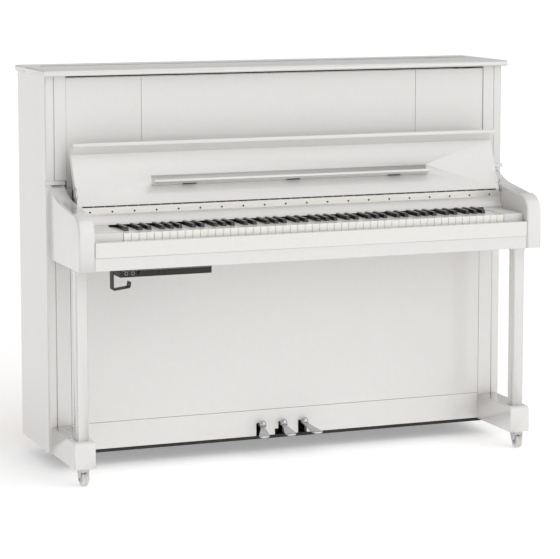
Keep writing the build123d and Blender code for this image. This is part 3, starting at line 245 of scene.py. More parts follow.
@dataclass(frozen=True)
class Finish:
    """One real surface: its colours, gloss and small relief."""

    name: str
    colour: str
    second: str
    roughness: float
    pattern: Pattern = Pattern.MOTTLE
    spacing_mm: float = 4.0
    stretch: Point = (1.0, 1.0, 1.0)
    relief_mm: float = 0.02
    rough_spread: float = 0.03
    metallic: float = 0.0
    ior: float = 1.5
    coat: float = 0.0
    coat_roughness: float = 0.03
    sheen: float = 0.0

    def fields(self, tree: bpy.types.NodeTree) -> tuple[Any, Any, Any]:
        """Draw this surface's pattern.

        Args:
            tree: The material's node tree.

        Returns:
            Sockets of its colour, roughness and height.
        """
        where = add_node(tree, "ShaderNodeTexCoord").outputs["Object"]
        mapped = add_node(tree, "ShaderNodeMapping", {"Vector": where, "Scale": self.stretch})
        scale = 1000.0 / self.spacing_mm
        grainy = self.pattern is Pattern.GRAIN
        noise = add_node(tree, "ShaderNodeTexNoise",
                         {"Vector": mapped.outputs[0], "Scale": scale,
                          "Detail": NOISE_DETAIL.get(self.pattern, PLAIN_DETAIL),
                          "Distortion": GRAIN_WAVER if grainy else 0.0})
        value = noise.outputs["Fac"]
        if self.pattern is Pattern.CAST:
            cells = add_node(tree, "ShaderNodeTexVoronoi",
                             {"Vector": mapped.outputs[0], "Scale": scale * CELL_SCALE})
            value = add_node(tree, "ShaderNodeMath", {0: value, 1: cells.outputs["Distance"]},
                             operation="MULTIPLY").outputs[0]
        lowest, highest = GRAIN_RANGE if grainy else PLAIN_RANGE
        even = add_node(tree, "ShaderNodeMapRange",
                        {"Value": value, "From Min": lowest, "From Max": highest}).outputs[0]
        colour = add_node(tree, "ShaderNodeMix",
                          {"Factor": even, 6: linear(self.colour), 7: linear(self.second)},
                          data_type="RGBA").outputs[2]
        rough = add_node(tree, "ShaderNodeMapRange",
                         {"Value": even, "To Max": self.roughness + self.rough_spread,
                          "To Min": max(LEAST_ROUGHNESS, self.roughness - self.rough_spread)}
                         ).outputs[0]
        return colour, rough, value

    def build(self, other: "Finish | None" = None, axis: str = "Z", limit: float = 0.0
              ) -> bpy.types.Material:
        """Make the material, with another finish past a plane if one is given.

        Args:
            other: The finish on the low side of the limit.
            axis: The axis that the limit is on.
            limit: Where this finish takes over from the other, in metres.

        Returns:
            The material.
        """
        material = bpy.data.materials.new(self.name)
        material.use_nodes = True
        tree = material.node_tree
        tree.nodes.clear()
        colour, rough, height = self.fields(tree)
        if other:
            low_colour, low_rough, low_height = other.fields(tree)
            where = add_node(tree, "ShaderNodeTexCoord").outputs["Object"]
            split = add_node(tree, "ShaderNodeSeparateXYZ", {0: where})
            mask = add_node(tree, "ShaderNodeMath", {0: split.outputs[axis], 1: limit},
                            operation="GREATER_THAN").outputs[0]
            colour = add_node(tree, "ShaderNodeMix", {"Factor": mask, 6: low_colour, 7: colour},
                              data_type="RGBA").outputs[2]
            rough = add_node(tree, "ShaderNodeMix", {0: mask, 2: low_rough, 3: rough}).outputs[0]
            height = add_node(tree, "ShaderNodeMix", {0: mask, 2: low_height, 3: height}).outputs[0]
        bump = add_node(tree, "ShaderNodeBump", {"Height": height, "Strength": 1.0,
                                                 "Distance": self.relief_mm * MM})
        shader = add_node(tree, "ShaderNodeBsdfPrincipled",
                          {"Base Color": colour, "Roughness": rough, "Normal": bump.outputs[0],
                           "Metallic": self.metallic, "IOR": self.ior, "Coat Weight": self.coat,
                           "Coat Roughness": self.coat_roughness, "Sheen Weight": self.sheen})
        add_node(tree, "ShaderNodeOutputMaterial", {0: shader.outputs[0]})
        return material


# Polyester lacquer, sprayed thick and buffed: mirror-like, with a faint, wide waviness.
POLYESTER_WHITE = Finish("polyester_lacquer_white", "DEDCDA", "DCDAD8", 0.16, spacing_mm=22.0,
                         relief_mm=0.012, rough_spread=0.02, ior=1.52, coat=0.7)
# The same lacquer seen close on narrow pieces, a little warmer where hands touch it.
POLYESTER_RAIL = Finish("polyester_lacquer_rail", "E2E0DD", "DFDDD9", 0.18, spacing_mm=14.0,
                        relief_mm=0.01, rough_spread=0.03, ior=1.52, coat=0.6)
# Plywood bottom board coloured black as painted shade for the shadow line under the case: dull,
# with the grain just telegraphing through.
SHADE_BLACK_BOARD = Finish("plywood_black_painted_shade", "0B0A0A", "161413", 0.55, Pattern.GRAIN, 5.0,
                     (0.05, 1.0, 1.0), 0.06, 0.08)
# Cast and plated brass: bright chrome with soft polishing waves.
CHROME = Finish("polished_chrome_plate", "C4C5C8", "B2B4B7", 0.09, Pattern.BRUSHED, 1.2,
                (1.0, 0.25, 0.25), 0.01, 0.04, metallic=1.0)
# Rolled hinge steel with nickel plate: a fine lengthways brush keeps it dimmer than chrome.
NICKEL = Finish("nickel_plated_hinge", "A9A69E", "8E8B84", 0.27, Pattern.BRUSHED, 1.5,
                (0.03, 1.0, 1.0), 0.02, 0.06, metallic=1.0)
# The leaf beside the keys is given a much paler nickel than the lid's hinge, as painted reflection
# of the white room its polished face mirrors.
LEAF_NICKEL_PAINTED_REFLECTION = Finish("hinge_leaf_painted_reflection", "E3E1DB", "D6D4CD", 0.30, Pattern.BRUSHED, 1.5,
                     (0.03, 1.0, 1.0), 0.02, 0.05, metallic=0.8)
# Barrel, countersunk screws and shelf hinge leaves: near-black steel, partly the steel's own tone
# and partly painted shade for the shadowed gaps at the hinges.
DARK_STEEL_AND_SHADE = Finish("dark_steel_and_painted_shade", "3C3935", "2C2A27", 0.36, Pattern.BRUSHED, 1.5,
                    (0.1, 1.0, 1.0), 0.02, 0.06, metallic=0.8)
# Moulded nylon tread: pale grey, waxy, lightly scuffed.
NYLON = Finish("moulded_nylon_tread", "DDDBD7", "CFCCC7", 0.36, spacing_mm=2.5, relief_mm=0.04,
               rough_spread=0.08)
# Acrylic key covering, buffed: ivory white with a clean, soft gloss.
KEY_ACRYLIC = Finish("acrylic_key_covering", "F4F3EE", "F0EEE8", 0.17, spacing_mm=9.0,
                     relief_mm=0.006, rough_spread=0.03, ior=1.49, coat=0.3)
# Phenolic sharps, moulded and rubbed: near black with a satin top.
KEY_PHENOLIC = Finish("phenolic_sharp_cap", "0A0A0B", "151516", 0.26, Pattern.MOTTLE, 1.6,
                      (1.0, 0.3, 1.0), 0.02, 0.07, ior=1.6)
# Planed spruce key sticks: straight pale grain along the stick.
KEY_SPRUCE = Finish("planed_spruce_stick", "D8B888", "C79F69", 0.55, Pattern.GRAIN, 2.2,
                    (1.0, 0.03, 1.0), 0.05, 0.06)
# Quarter-sawn spruce soundboard under varnish: close, straight, slanting grain.
SOUND_SPRUCE = Finish("quarter_sawn_spruce", "D9AE6E", "B98548", 0.34, Pattern.GRAIN, 3.0,
                      (1.0, 1.0, 0.03), 0.04, 0.06, coat=0.3)
# Planed pine of the back posts: wide soft grain along the post, clear varnish.
BACK_PINE = Finish("varnished_pine_post", "CFA66B", "AF7F45", 0.42, Pattern.GRAIN, 9.0,
                   (1.0, 1.0, 0.04), 0.08, 0.08, coat=0.15)
# Laminated beech: short flecked grain, oiled.
BEECH = Finish("laminated_beech", "B98A58", "9A6C3F", 0.45, Pattern.GRAIN, 3.0, (0.08, 1.0, 1.0),
               0.05, 0.07)
# Maple hammer shanks and action parts: pale and even.
MAPLE = Finish("turned_maple", "D9BE94", "C7A678", 0.48, Pattern.GRAIN, 1.8, (1.0, 1.0, 0.06),
               0.03, 0.06)
# Sand-cast iron under bronze paint: slightly pebbled, metallic paint.
PLATE_BRONZE = Finish("bronze_painted_cast_iron", "A8823E", "8C6A2E", 0.38, Pattern.CAST, 3.0,
                      relief_mm=0.25, rough_spread=0.08, metallic=0.55)
# Drawn music wire: bright steel.
MUSIC_WIRE = Finish("drawn_music_wire", "BDBDBC", "A2A2A1", 0.22, Pattern.BRUSHED, 0.8,
                    (1.0, 1.0, 0.05), 0.01, 0.05, metallic=1.0)
# Copper winding of the bass strings: reddish, with a fine cross ribbing.
COPPER_WIRE = Finish("copper_wound_string", "B4714A", "8F5334", 0.30, Pattern.BRUSHED, 1.0,
                     (0.2, 0.2, 1.0), 0.06, 0.06, metallic=1.0)
# Pressed wool felt: off-white, fibrous, no gloss.
FELT = Finish("pressed_wool_felt", "E6E1D2", "CFC8B4", 0.95, Pattern.FELT, 1.2, (1.0, 0.6, 1.0),
              0.35, 0.03, sheen=0.4)
# Planed aluminium of the action's brackets: fine cutter lines.
ALUMINIUM = Finish("planed_aluminium", "B9BABA", "A4A5A6", 0.34, Pattern.BRUSHED, 2.0,
                   (1.0, 0.05, 1.0), 0.03, 0.08, metallic=1.0)
# Spark-textured ABS of the control box: black, fine grained.
ABS_BLACK = Finish("spark_textured_abs", "0A090A", "111011", 0.52, Pattern.CAST, 1.1,
                   relief_mm=0.05, rough_spread=0.07)
# Powder coat on the steel hook: black with a light orange peel.
POWDER_BLACK = Finish("powder_coated_steel", "090809", "0F0E0F", 0.44, Pattern.MOTTLE, 1.8,
                      relief_mm=0.06, rough_spread=0.06)
# Matt paper of the studio floor: plain and nearly white.
STUDIO_PAPER = Finish("studio_paper", "FBFBFB", "FAFAFA", 0.9, spacing_mm=400.0, relief_mm=0.0,
                      rough_spread=0.02)


def smooth_copy(node: str, body: str) -> bpy.types.Object:
    """Stand a merged, smoothly shaded copy in for a node with rounded edges.

    Args:
        node: The node's name.
        body: The body it rides on.

    Returns:
        The copy.
    """
    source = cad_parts[node]
    bpy.ops.object.select_all(action="DESELECT")
    twin = bpy.data.objects.new(f"{node}_finished", source.data.copy())
    bpy.context.collection.objects.link(twin)
    only(twin)
    bpy.ops.object.mode_set(mode="EDIT")
    bpy.ops.mesh.select_all(action="SELECT")
    bpy.ops.mesh.remove_doubles(threshold=WELD)
    bpy.ops.object.mode_set(mode="OBJECT")
    bpy.ops.object.shade_smooth_by_angle(angle=math.radians(SOFT_EDGE_DEG))
    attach(twin, body)
    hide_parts(node)
    return twin


def dress(piece: bpy.types.Object, material: bpy.types.Material) -> None:
    """Give a piece one material all over."""
    piece.data.materials.clear()
    piece.data.materials.append(material)
    for polygon in piece.data.polygons:
        polygon.material_index = 0


class Assembly:
    """A group of pieces that share finishes and report themselves."""

    def place(self, piece: bpy.types.Object, body: str, material: bpy.types.Material,
              slot_name: str) -> bpy.types.Object:
        """Dress a new piece, let it ride on its body and report it.

        Args:
            piece: The finished piece.
            body: The body it rides on.
            material: Its material.
            slot_name: Not used.

        Returns:
            The piece.
        """
        dress(piece, material)
        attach(piece, body)
        LOG.info("%s rides on %s", piece.name, body)
        return piece


@dataclass
class CaseWork(Assembly):
    """Sides, panels, arms, legs, toes, keybed, lid and the lid's hinge."""

    plain: tuple[str, ...] = ("front_stiles", "keybed", "upper_panel", "lower_panel", "bottom_rail")
    rounded: tuple[str, ...] = ("side_left", "side_right", "arms", "legs", "toes", "lid_back",
                                "key_blocks")
    knuckle: float = 58 * MM
    knuckle_gap: float = 1.4 * MM
    knuckle_sides: int = 12
    knuckle_edge: float = 0.4 * MM

    def build(self) -> None:
        """Dress the case and cut the lid's hinge into knuckles."""
        white = POLYESTER_WHITE.build()
        rail = POLYESTER_RAIL.build()
        for node in self.plain:
            dress(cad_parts[node], white)
        for node in self.rounded:
            dress(smooth_copy(node, "case"), white)
        dress(smooth_copy("lid_front", "lid_front"), white)
        for node in ("key_slip", "name_strip"):
            dress(smooth_copy(node, "case"), rail)
        # The bottom board's black is painted shade for the shadow line along the case's foot.
        dress(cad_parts["bottom_board"], SHADE_BLACK_BOARD.build())
        self.lid_hinge(NICKEL.build())

    def lid_hinge(self, metal: bpy.types.Material) -> None:
        """Make the lid's hinge as a row of knuckles.

        Args:
            metal: The hinge's material.
        """
        low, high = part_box("lid_hinge")
        radius = (high[2] - low[2]) / 2
        pitch = self.knuckle + self.knuckle_gap
        count = int((high[0] - low[0]) / pitch)
        start = (low[0] + high[0]) / 2 - (count - 1) * pitch / 2
        first = round_bar("lid_hinge_knuckles", (start, (low[1] + high[1]) / 2, low[2] + radius),
                          "X", radius, self.knuckle, self.knuckle_sides, self.knuckle_edge)
        row = row_along_x(first, count, pitch)
        self.place(row, "case", metal, "chrome")
        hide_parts("lid_hinge")


@dataclass
class Keyboard(Assembly):
    """White and black keys and the rails they lie on."""

    under_strip: float = 24 * MM
    cap_depth: float = 1.1 * MM

    def build(self) -> None:
        """Dress each key: a covered or capped front, and a bare spruce stick behind or below."""
        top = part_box("keys_c")[1][2]
        strip_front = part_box("name_strip")[0][1]
        white = KEY_SPRUCE.build(KEY_ACRYLIC, "Y", strip_front + self.under_strip)
        black = KEY_PHENOLIC.build(KEY_SPRUCE, "Z", top - self.cap_depth)
        for name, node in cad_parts.items():
            if name.startswith("keys_"):
                dress(node, black if name.endswith("sharp") else white)
        dress(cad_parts["key_frame"], BACK_PINE.build())


@dataclass
class Fall(Assembly):
    """Fallboard, its long hinge, its closing arms and the folding music shelf."""

    lean_deg: float = 24.2
    axis_inset: float = 2.6 * MM
    hinge_radius: float = 2.75 * MM
    knuckle: float = 34 * MM
    knuckle_gap: float = 0.7 * MM
    knuckle_sides: int = 14
    knuckle_edge: float = 0.5 * MM
    screw_count: int = 20
    screw_radius: float = 2.8 * MM
    screw_rise: float = 7.3 * MM
    screw_head: float = 1.2 * MM
    screw_sides: int = 16
    screw_edge: float = 0.4 * MM
    leaf_at: tuple[float, ...] = (-0.335, 0.0, 0.335)
    leaf_root: float = 60 * MM
    leaf_width: float = 44 * MM
    leaf_depth: float = 11 * MM
    leaf_thick: float = 0.4 * MM
    leaf_gap: float = 0.6 * MM
    leaf_edge: float = 0.12 * MM
    leaf_screw_radius: float = 1.9 * MM
    leaf_screw_head: float = 0.2 * MM
    leaf_screw_sides: int = 12
    leaf_screw_spread: float = 0.32
    leaf_screw_depth: float = 0.55
    end_gap: float = 1.9 * MM
    loop_radius: float = 18.5 * MM
    loop_wire: float = 1.3 * MM
    loop_scale: Point = (1.0, 0.80, 1.05)
    loop_along: float = 42 * MM
    loop_out: float = 3 * MM
    arm_radius: float = 26 * MM
    arm_section: tuple[float, float] = (2.2 * MM, 6 * MM)
    arm_steps: int = 14
    arm_sweep_deg: float = 100.0
    arm_start_deg: float = -118.0
    arm_scale: Point = (1.0, 0.8, 1.35)
    arm_shift: Point = (0.0, 12 * MM, 30 * MM)
    lean: float = field(init=False)
    axis_y: float = field(init=False)
    axis_z: float = field(init=False)
    half: float = field(init=False)
    up: Vector = field(init=False)
    face: Vector = field(init=False)

    def __post_init__(self) -> None:
        """Find the hinge's axis and the directions up the board and out of it."""
        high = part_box("fallboard_hinge")[1]
        self.half = high[0]
        self.axis_y = high[1] - self.axis_inset
        self.axis_z = high[2] - self.axis_inset
        self.lean = math.radians(self.lean_deg)
        self.up = Vector((0, math.sin(self.lean), math.cos(self.lean)))
        self.face = Vector((0, -math.cos(self.lean), math.sin(self.lean)))

    def at(self, x: float, along: float, out: float) -> Vector:
        """Turn a place on the board to the frame.

        Args:
            x: Place across the piano.
            along: Distance up the board from the hinge's axis.
            out: Distance out of the board's inner face.

        Returns:
            The place in the frame.
        """
        return Vector((x, self.axis_y, self.axis_z)) + along * self.up + out * self.face

    def build(self) -> None:
        """Dress the board and add its hardware."""
        white = POLYESTER_WHITE.build()
        chrome = CHROME.build()
        dress(smooth_copy("fallboard", "fallboard"), white)
        dress(smooth_copy("music_shelf", "music_shelf"), white)
        # Knuckles, screws and shelf leaves share one near-black steel, partly painted shade for the
        # hinges' shadowed gaps.
        dark = DARK_STEEL_AND_SHADE.build()
        # The leaf's pale colour is painted reflection of the white surroundings.
        dress(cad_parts["fallboard_hinge"], LEAF_NICKEL_PAINTED_REFLECTION.build())
        self.knuckles(dark)
        self.leaf_screws(dark)
        self.shelf_leaves(dark)
        self.closing_arms(chrome, POWDER_BLACK.build())

    def knuckles(self, metal: bpy.types.Material) -> None:
        """Lay a row of knuckles over the long hinge's barrel.

        Args:
            metal: The knuckles' material.
        """
        pitch = self.knuckle + self.knuckle_gap
        count = int(2 * self.half / pitch)
        first = round_bar("fallboard_hinge_knuckles",
                          (-(count - 1) * pitch / 2, self.axis_y, self.axis_z), "X",
                          self.hinge_radius, self.knuckle, self.knuckle_sides, self.knuckle_edge)
        self.place(row_along_x(first, count, pitch), "case", metal, "chrome")

    def leaf_screws(self, metal: bpy.types.Material) -> None:
        """Put a domed head over each screw of the long hinge's leaf.

        Args:
            metal: The heads' material.
        """
        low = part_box("fallboard_hinge")[0]
        pitch = 2 * self.half / self.screw_count
        start = -(self.screw_count - 1) * pitch / 2
        head = round_bar("hinge_screw_heads", (start, low[1], low[2] + self.screw_rise), "Y",
                         self.screw_radius, self.screw_head, self.screw_sides, self.screw_edge)
        self.place(row_along_x(head, self.screw_count, pitch), "case", metal, "chrome")

    def shelf_leaves(self, metal: bpy.types.Material) -> None:
        """Screw three short hinge leaves to the root of the music shelf.

        Args:
            metal: The leaves' material.
        """
        half_width = self.leaf_width / 2
        spread = self.leaf_width * self.leaf_screw_spread
        depth = self.leaf_depth * self.leaf_screw_depth
        for number, x in enumerate(self.leaf_at, 1):
            leaf = block(f"shelf_leaf_{number}", (-half_width, self.leaf_gap, -self.leaf_thick),
                         (half_width, self.leaf_depth, 0), self.leaf_edge)
            screws = [round_bar("screw", (side * spread, depth, -self.leaf_thick), "Z",
                                self.leaf_screw_radius, self.leaf_screw_head,
                                self.leaf_screw_sides) for side in (-1, 0, 1)]
            join([leaf, *screws])
            turn = Matrix((Vector((-1, 0, 0)), self.face, self.up)).transposed().to_4x4()
            turn.translation = self.at(x, self.leaf_root, 0)
            leaf.data.transform(turn)
            self.place(leaf, "music_shelf", metal, "chrome")

    def closing_arms(self, chrome: bpy.types.Material, black: bpy.types.Material) -> None:
        """Hang a chrome loop and a curved black arm at each end of the board.

        Args:
            chrome: The loops' material.
            black: The arms' material.
        """
        tilt = Matrix.Rotation(-self.lean, 4, "X")
        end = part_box("fallboard")[1][0] + self.end_gap
        for side, word in ((-1, "left"), (1, "right")):
            bpy.ops.object.select_all(action="DESELECT")
            bpy.ops.mesh.primitive_torus_add(major_radius=self.loop_radius,
                                             minor_radius=self.loop_wire, major_segments=40,
                                             minor_segments=10, rotation=(0, math.pi / 2, 0))
            loop = settle(f"closing_loop_{word}")
            loop.data.transform(Matrix.Diagonal((*self.loop_scale, 1)))
            loop.data.transform(tilt)
            place = self.at(side * end, self.loop_along, self.loop_out)
            loop.data.transform(Matrix.Translation(place))
            self.place(loop, "case", chrome, "chrome")
            arm = self.curved_arm(f"closing_arm_{word}")
            arm.data.transform(tilt)
            arm.data.transform(Matrix.Translation(self.at(side * end, 0.0, 0.0)))
            self.place(arm, "case", black, "black_steel")

    def curved_arm(self, name: str) -> bpy.types.Object:
        """Spin a flat bar's section through a short arc.

        Args:
            name: The piece's name.

        Returns:
            The arm, round the origin in the YZ plane.
        """
        bpy.ops.object.select_all(action="DESELECT")
        bpy.ops.mesh.primitive_plane_add(size=1.0)
        arm = bpy.context.object
        arm.data.transform(Matrix.Diagonal((*self.arm_section, 1, 1)))
        arm.data.transform(Matrix.Translation((0, -self.arm_radius, 0)))
        bpy.ops.object.mode_set(mode="EDIT")
        bpy.ops.mesh.select_all(action="SELECT")
        bpy.ops.mesh.spin(steps=self.arm_steps, angle=math.radians(self.arm_sweep_deg),
                          center=(0, 0, 0), axis=(1, 0, 0))
        bpy.ops.mesh.select_all(action="SELECT")
        bpy.ops.mesh.normals_make_consistent(inside=False)
        bpy.ops.object.mode_set(mode="OBJECT")
        arm.data.transform(Matrix.Rotation(math.radians(self.arm_start_deg), 4, "X"))
        arm.data.transform(Matrix.Diagonal((*self.arm_scale, 1)))
        arm.data.transform(Matrix.Translation(self.arm_shift))
        return settle(name, smooth_deg=40)


@dataclass
class Pedals(Assembly):
    """Three cast pedals, each a bar, a ball with a collar and a spread toe.

    A station is a place along the bar with half its width and half its height there.
    """

    stations: tuple[Point, ...] = (
        (-0.004, 0.0080, 0.0050), (-0.026, 0.0078, 0.0050), (-0.040, 0.0100, 0.0050),
        (-0.056, 0.0140, 0.0048), (-0.072, 0.0180, 0.0045), (-0.083, 0.0182, 0.0040),
        (-0.0875, 0.0120, 0.0030))
    pitch: float = 70 * MM
    bar_drop: float = 12 * MM
    bar_sides: int = 20
    heel: float = -18 * MM
    slope: float = 0.30
    toe_length: float = 69.5 * MM
    toe_splay: float = 20 * MM
    ball_radius: float = 10.8 * MM
    ball_rise: float = 7 * MM
    collar_radius: float = 8.8 * MM
    collar_wire: float = 2.1 * MM
    collar_before: float = 3.5 * MM
    collar_rise: float = 1.5 * MM
    collar_tilt: float = 0.35

    def build(self) -> None:
        """Make each pedal over its node."""
        chrome = CHROME.build()
        for word, splay in (("left", -1.0), ("middle", 0.0), ("right", 1.0)):
            node = f"pedal_{word}"
            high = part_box(node)[1]
            start = Vector((splay * self.pitch, high[1], high[2] - self.bar_drop))
            lever = self.lever(f"{node}_cast", start, splay)
            pedal = join([lever, *self.ball_and_collar(start)])
            self.place(pedal, node, chrome, "chrome")
            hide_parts(node)

    def lever(self, name: str, start: Vector, splay: float) -> bpy.types.Object:
        """Draw a pedal out of its bar's end, station by station.

        Args:
            name: The piece's name.
            start: The middle of the bar's far end.
            splay: -1 turns the toe to the left, 1 to the right.

        Returns:
            The bar and its toe.
        """
        bpy.ops.object.select_all(action="DESELECT")
        bpy.ops.mesh.primitive_circle_add(vertices=self.bar_sides, radius=1.0, fill_type="NGON",
                                          location=start, rotation=(math.pi / 2, 0, 0))
        lever = bpy.context.object
        bpy.ops.object.transform_apply(location=True, rotation=True, scale=True)
        bpy.ops.object.mode_set(mode="EDIT")
        bpy.ops.mesh.select_all(action="SELECT")
        width, height = self.stations[0][1:]
        bpy.ops.transform.resize(value=(width, 1, height), center_override=start)
        here = start
        for y, half_width, half_height in self.stations:
            beyond = max(0.0, self.heel - y)
            there = Vector((start.x + splay * self.toe_splay * beyond / self.toe_length, y,
                            start.z - self.slope * beyond))
            bpy.ops.mesh.extrude_region_move(TRANSFORM_OT_translate={"value": there - here})
            bpy.ops.transform.resize(value=(half_width / width, 1, half_height / height),
                                     center_override=there)
            here, width, height = there, half_width, half_height
        bpy.ops.mesh.select_all(action="SELECT")
        bpy.ops.mesh.normals_make_consistent(inside=False)
        bpy.ops.object.mode_set(mode="OBJECT")
        smoother = lever.modifiers.new("Subdivision", "SUBSURF")
        smoother.levels = smoother.render_levels = 1
        bpy.ops.object.modifier_apply(modifier="Subdivision")
        return settle(name, smooth_deg=50)

    def ball_and_collar(self, start: Vector) -> list[bpy.types.Object]:
        """Make the ball over a pedal's heel and the collar under it.

        Args:
            start: The middle of the bar's far end.

        Returns:
            The ball and the collar.
        """
        bpy.ops.object.select_all(action="DESELECT")
        bpy.ops.mesh.primitive_uv_sphere_add(segments=28, ring_count=16, radius=self.ball_radius,
                                             location=(start.x, self.heel,
                                                       start.z + self.ball_rise))
        ball = settle("ball", smooth_deg=60)
        bpy.ops.object.select_all(action="DESELECT")
        bpy.ops.mesh.primitive_torus_add(major_radius=self.collar_radius,
                                         minor_radius=self.collar_wire, major_segments=32,
                                         minor_segments=10, rotation=(self.collar_tilt, 0, 0),
                                         location=(start.x, self.heel - self.collar_before,
                                                   start.z + self.collar_rise))
        return [ball, settle("collar", smooth_deg=60)]


@dataclass
class Casters(Assembly):
    """Fork plates, treads and the axles' nuts."""

    nut_radius: float = 5.2 * MM
    nut_height: float = 2.6 * MM
    nut_gap: float = 0.1 * MM
    nut_edge: float = 0.6 * MM
    bridge_before: float = 10.3 * MM
    bridge_height: float = 10.5 * MM
    bridge_half: float = 1.2 * MM
    bridge_gap: float = 0.2 * MM
    bridge_edge: float = 0.5 * MM

    def build(self) -> None:
        """Dress the casters and add a nut at each end of each axle."""
        chrome = CHROME.build()
        nylon = NYLON.build()
        dress(smooth_copy("caster_forks", "case"), chrome)
        for corner in ("front_left", "front_right", "rear_left", "rear_right"):
            node = f"caster_wheel_{corner}"
            dress(smooth_copy(node, node), nylon)
            low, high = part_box(node)
            y, z = (low[1] + high[1]) / 2, (low[2] + high[2]) / 2
            offset = self.nut_height / 2 + self.nut_gap
            nut = round_bar(f"axle_nuts_{corner}", (low[0] - offset, y, z), "X", self.nut_radius,
                            self.nut_height, sides=6, edge=self.nut_edge)
            pair = copies(nut, [(high[0] - low[0] + 2 * offset, 0, 0)])
            self.place(pair, "case", chrome, "chrome")
        self.bridge("front_left", chrome)
        self.bridge("front_right", chrome)

    def bridge(self, corner: str, metal: bpy.types.Material) -> None:
        """Close the front of a front fork with a bent plate above the wheel.

        Args:
            corner: The wheel's place.
            metal: The plate's material.
        """
        low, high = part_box(f"caster_wheel_{corner}")
        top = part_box("toes")[0][2]
        front = (low[1] + high[1]) / 2 - self.bridge_before
        plate = block(f"fork_bridge_{corner}",
                      (low[0] + self.bridge_gap, front - self.bridge_half,
                       top - self.bridge_height),
                      (high[0] - self.bridge_gap, front + self.bridge_half,
                       top - self.bridge_gap), self.bridge_edge)
        self.place(plate, "case", metal, "chrome")


@dataclass
class ControlUnit(Assembly):
    """The box under the keybed with its jacks, push keys, button and knob, and the hook."""

    jacks: tuple[float, ...] = (18 * MM, 38 * MM)
    nut_radius: float = 5.4 * MM
    nut_wire: float = 1.1 * MM
    keys: tuple[float, ...] = (84 * MM, 102 * MM, 140 * MM, 170 * MM)
    key_half: tuple[float, float] = (4.5 * MM, 3 * MM)
    key_out: float = 1.1 * MM
    key_root: float = 2 * MM
    key_edge: float = 0.8 * MM
    trim_inset: float = 4 * MM
    trim_out: float = 0.5 * MM
    trim_root: float = 1 * MM
    trim_drop: tuple[float, float] = (3.4 * MM, 2.2 * MM)
    trim_edge: float = 0.2 * MM

    def build(self) -> None:
        """Dress the box and put its small parts on its face."""
        plastic = ABS_BLACK.build()
        powder = POWDER_BLACK.build()
        metal = NICKEL.build()
        dress(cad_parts["control_box"], plastic)
        dress(smooth_copy("volume_knob", "volume_knob"), plastic)
        dress(smooth_copy("power_button", "power_button"), plastic)
        dress(smooth_copy("headphone_hook", "case"), powder)
        low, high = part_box("control_box")
        middle = (low[2] + high[2]) / 2
        for number, at in enumerate(self.jacks, 1):
            self.jack_nut(f"jack_nut_{number}", (low[0] + at, low[1], middle), metal)
        keys = join([self.push_key((low[0] + at, low[1], middle)) for at in self.keys])
        keys.name = "box_push_keys"
        self.place(keys, "case", powder, "black_plastic")
        trim = block("box_face_trim",
                     (low[0] + self.trim_inset, low[1] - self.trim_out,
                      high[2] - self.trim_drop[0]),
                     (high[0] - self.trim_inset, low[1] + self.trim_root,
                      high[2] - self.trim_drop[1]), self.trim_edge)
        self.place(trim, "case", metal, "chrome")

    def jack_nut(self, name: str, mouth: Point, metal: bpy.types.Material) -> None:
        """Put a ring nut round a jack's mouth.

        Args:
            name: The piece's name.
            mouth: The middle of the mouth.
            metal: The nut's material.
        """
        bpy.ops.object.select_all(action="DESELECT")
        bpy.ops.mesh.primitive_torus_add(major_radius=self.nut_radius - self.nut_wire,
                                         minor_radius=self.nut_wire, major_segments=28,
                                         minor_segments=8, location=mouth,
                                         rotation=(math.pi / 2, 0, 0))
        self.place(settle(name, smooth_deg=50), "case", metal, "chrome")

    def push_key(self, middle: Point) -> bpy.types.Object:
        """Make one push key.

        Args:
            middle: Its middle on the box's face.

        Returns:
            The key.
        """
        x, face, z = middle
        half_width, half_height = self.key_half
        return block("key", (x - half_width, face - self.key_out, z - half_height),
                     (x + half_width, face + self.key_root, z + half_height), self.key_edge)


@dataclass
class Interior(Assembly):
    """Back frame, soundboard, plate, strings and action."""

    head_height: float = 34 * MM
    damper_felt: float = 22 * MM
    mute_felt: float = 2.6 * MM

    def build(self) -> None:
        """Dress what is inside and behind."""
        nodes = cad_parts
        pine = BACK_PINE.build()
        maple = MAPLE.build()
        for node in ("back_frame", "pedal_rod_left", "pedal_rod_middle", "pedal_rod_right"):
            dress(nodes[node], pine)
        dress(nodes["hammer_rest_rail"], maple)
        dress(nodes["soundboard"], SOUND_SPRUCE.build())
        beech = BEECH.build()
        dress(nodes["pin_block"], beech)
        dress(nodes["bridges"], beech)
        dress(nodes["iron_plate"], PLATE_BRONZE.build())
        plane = (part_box("strings")[0][1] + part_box("strings")[1][1]) / 2
        dress(nodes["strings"], MUSIC_WIRE.build(COPPER_WIRE, "Y", plane))
        dress(nodes["tuning_pins"], MUSIC_WIRE.build())
        dress(nodes["action_frame"], ALUMINIUM.build())
        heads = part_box("hammers")[1][2] - self.head_height
        dress(nodes["hammers"], FELT.build(MAPLE, "Z", heads))
        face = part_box("dampers")[1][1] - self.damper_felt
        dress(nodes["dampers"], FELT.build(MAPLE, "Y", face))
        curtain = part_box("mute_rail")[1][1] - self.mute_felt
        dress(nodes["mute_rail"], FELT.build(MAPLE, "Y", curtain))


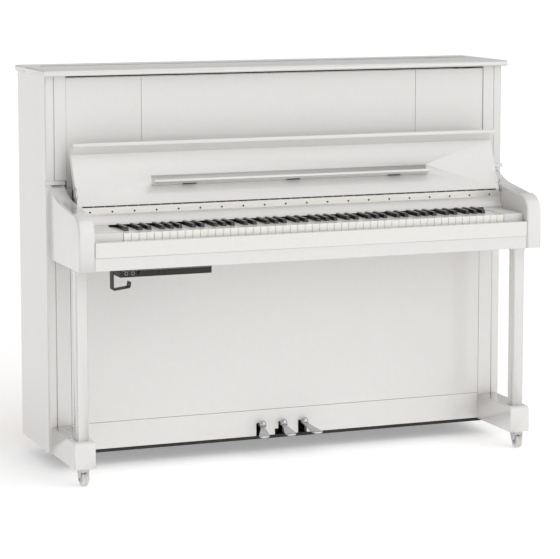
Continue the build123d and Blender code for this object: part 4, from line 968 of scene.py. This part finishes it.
@dataclass
class Studio:
    """Pale floor, soft light and the camera."""

    floor_size: float = 400.0
    floor_drop: float = 0.2 * MM
    glow: float = 0.30
    sky: float = 0.55
    sun: float = 1.5
    sun_from: Point = (0.45, -0.75, 0.45)
    sun_width_deg: float = 90.0
    eye: Point = (-2.6144, -6.6801, 1.6265)
    yaw: float = 0.3723
    pitch: float = 0.1260
    lens: float = 150.27
    sensor: float = 36.0
    shift: float = -0.10
    clip: tuple[float, float] = (0.1, 500.0)

    def build(self) -> None:
        """Make the floor, the lights and the camera."""
        self.floor()
        self.light()
        self.camera()
        LOG.info("studio is set")

    def floor(self) -> None:
        """Lay a plain pale floor that glows a little."""
        bpy.ops.object.select_all(action="DESELECT")
        bpy.ops.mesh.primitive_plane_add(size=self.floor_size, location=(0, 0, -self.floor_drop))
        floor = bpy.context.object
        floor.name = "studio_floor"
        material = STUDIO_PAPER.build()
        nodes = material.node_tree.nodes
        shader = next(n for n in nodes if n.bl_idname == "ShaderNodeBsdfPrincipled")
        shader.inputs["Emission Color"].default_value = (1, 1, 1, 1)
        shader.inputs["Emission Strength"].default_value = self.glow
        dress(floor, material)

    def light(self) -> None:
        """Light the room evenly, with one large soft source in front and above."""
        scene = bpy.context.scene
        scene.view_settings.view_transform = "Standard"
        scene.world = scene.world or bpy.data.worlds.new("studio")
        scene.world.use_nodes = True
        tree = scene.world.node_tree
        tree.nodes.clear()
        sky = add_node(tree, "ShaderNodeBackground",
                       {"Color": (1, 1, 1, 1), "Strength": self.sky})
        add_node(tree, "ShaderNodeOutputWorld", {0: sky.outputs[0]})
        lamp = bpy.data.lights.new("soft_sun", "SUN")
        lamp.energy = self.sun
        lamp.angle = math.radians(self.sun_width_deg)
        sun = bpy.data.objects.new("soft_sun", lamp)
        bpy.context.collection.objects.link(sun)
        sun.rotation_euler = Vector(self.sun_from).to_track_quat("Z", "Y").to_euler()

    def camera(self) -> None:
        """Set the camera, a long lens from the left and a little above."""
        data = bpy.data.cameras.new("camera")
        data.lens = self.lens
        data.sensor_width = self.sensor
        data.shift_y = self.shift
        data.clip_start, data.clip_end = self.clip
        camera = bpy.data.objects.new("camera", data)
        bpy.context.collection.objects.link(camera)
        camera.location = self.eye
        camera.rotation_euler = (math.pi / 2 - self.pitch, 0, -self.yaw)
        bpy.context.scene.camera = camera


def main() -> None:
    """Build every assembly."""
    logging.basicConfig(level=logging.INFO, format="%(name)s: %(message)s")
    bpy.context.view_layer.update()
    for assembly in (CaseWork(), Keyboard(), Fall(), Pedals(), Casters(), ControlUnit(),
                     Interior(), Studio()):
        assembly.build()


if __name__ == "__main__":
    main()
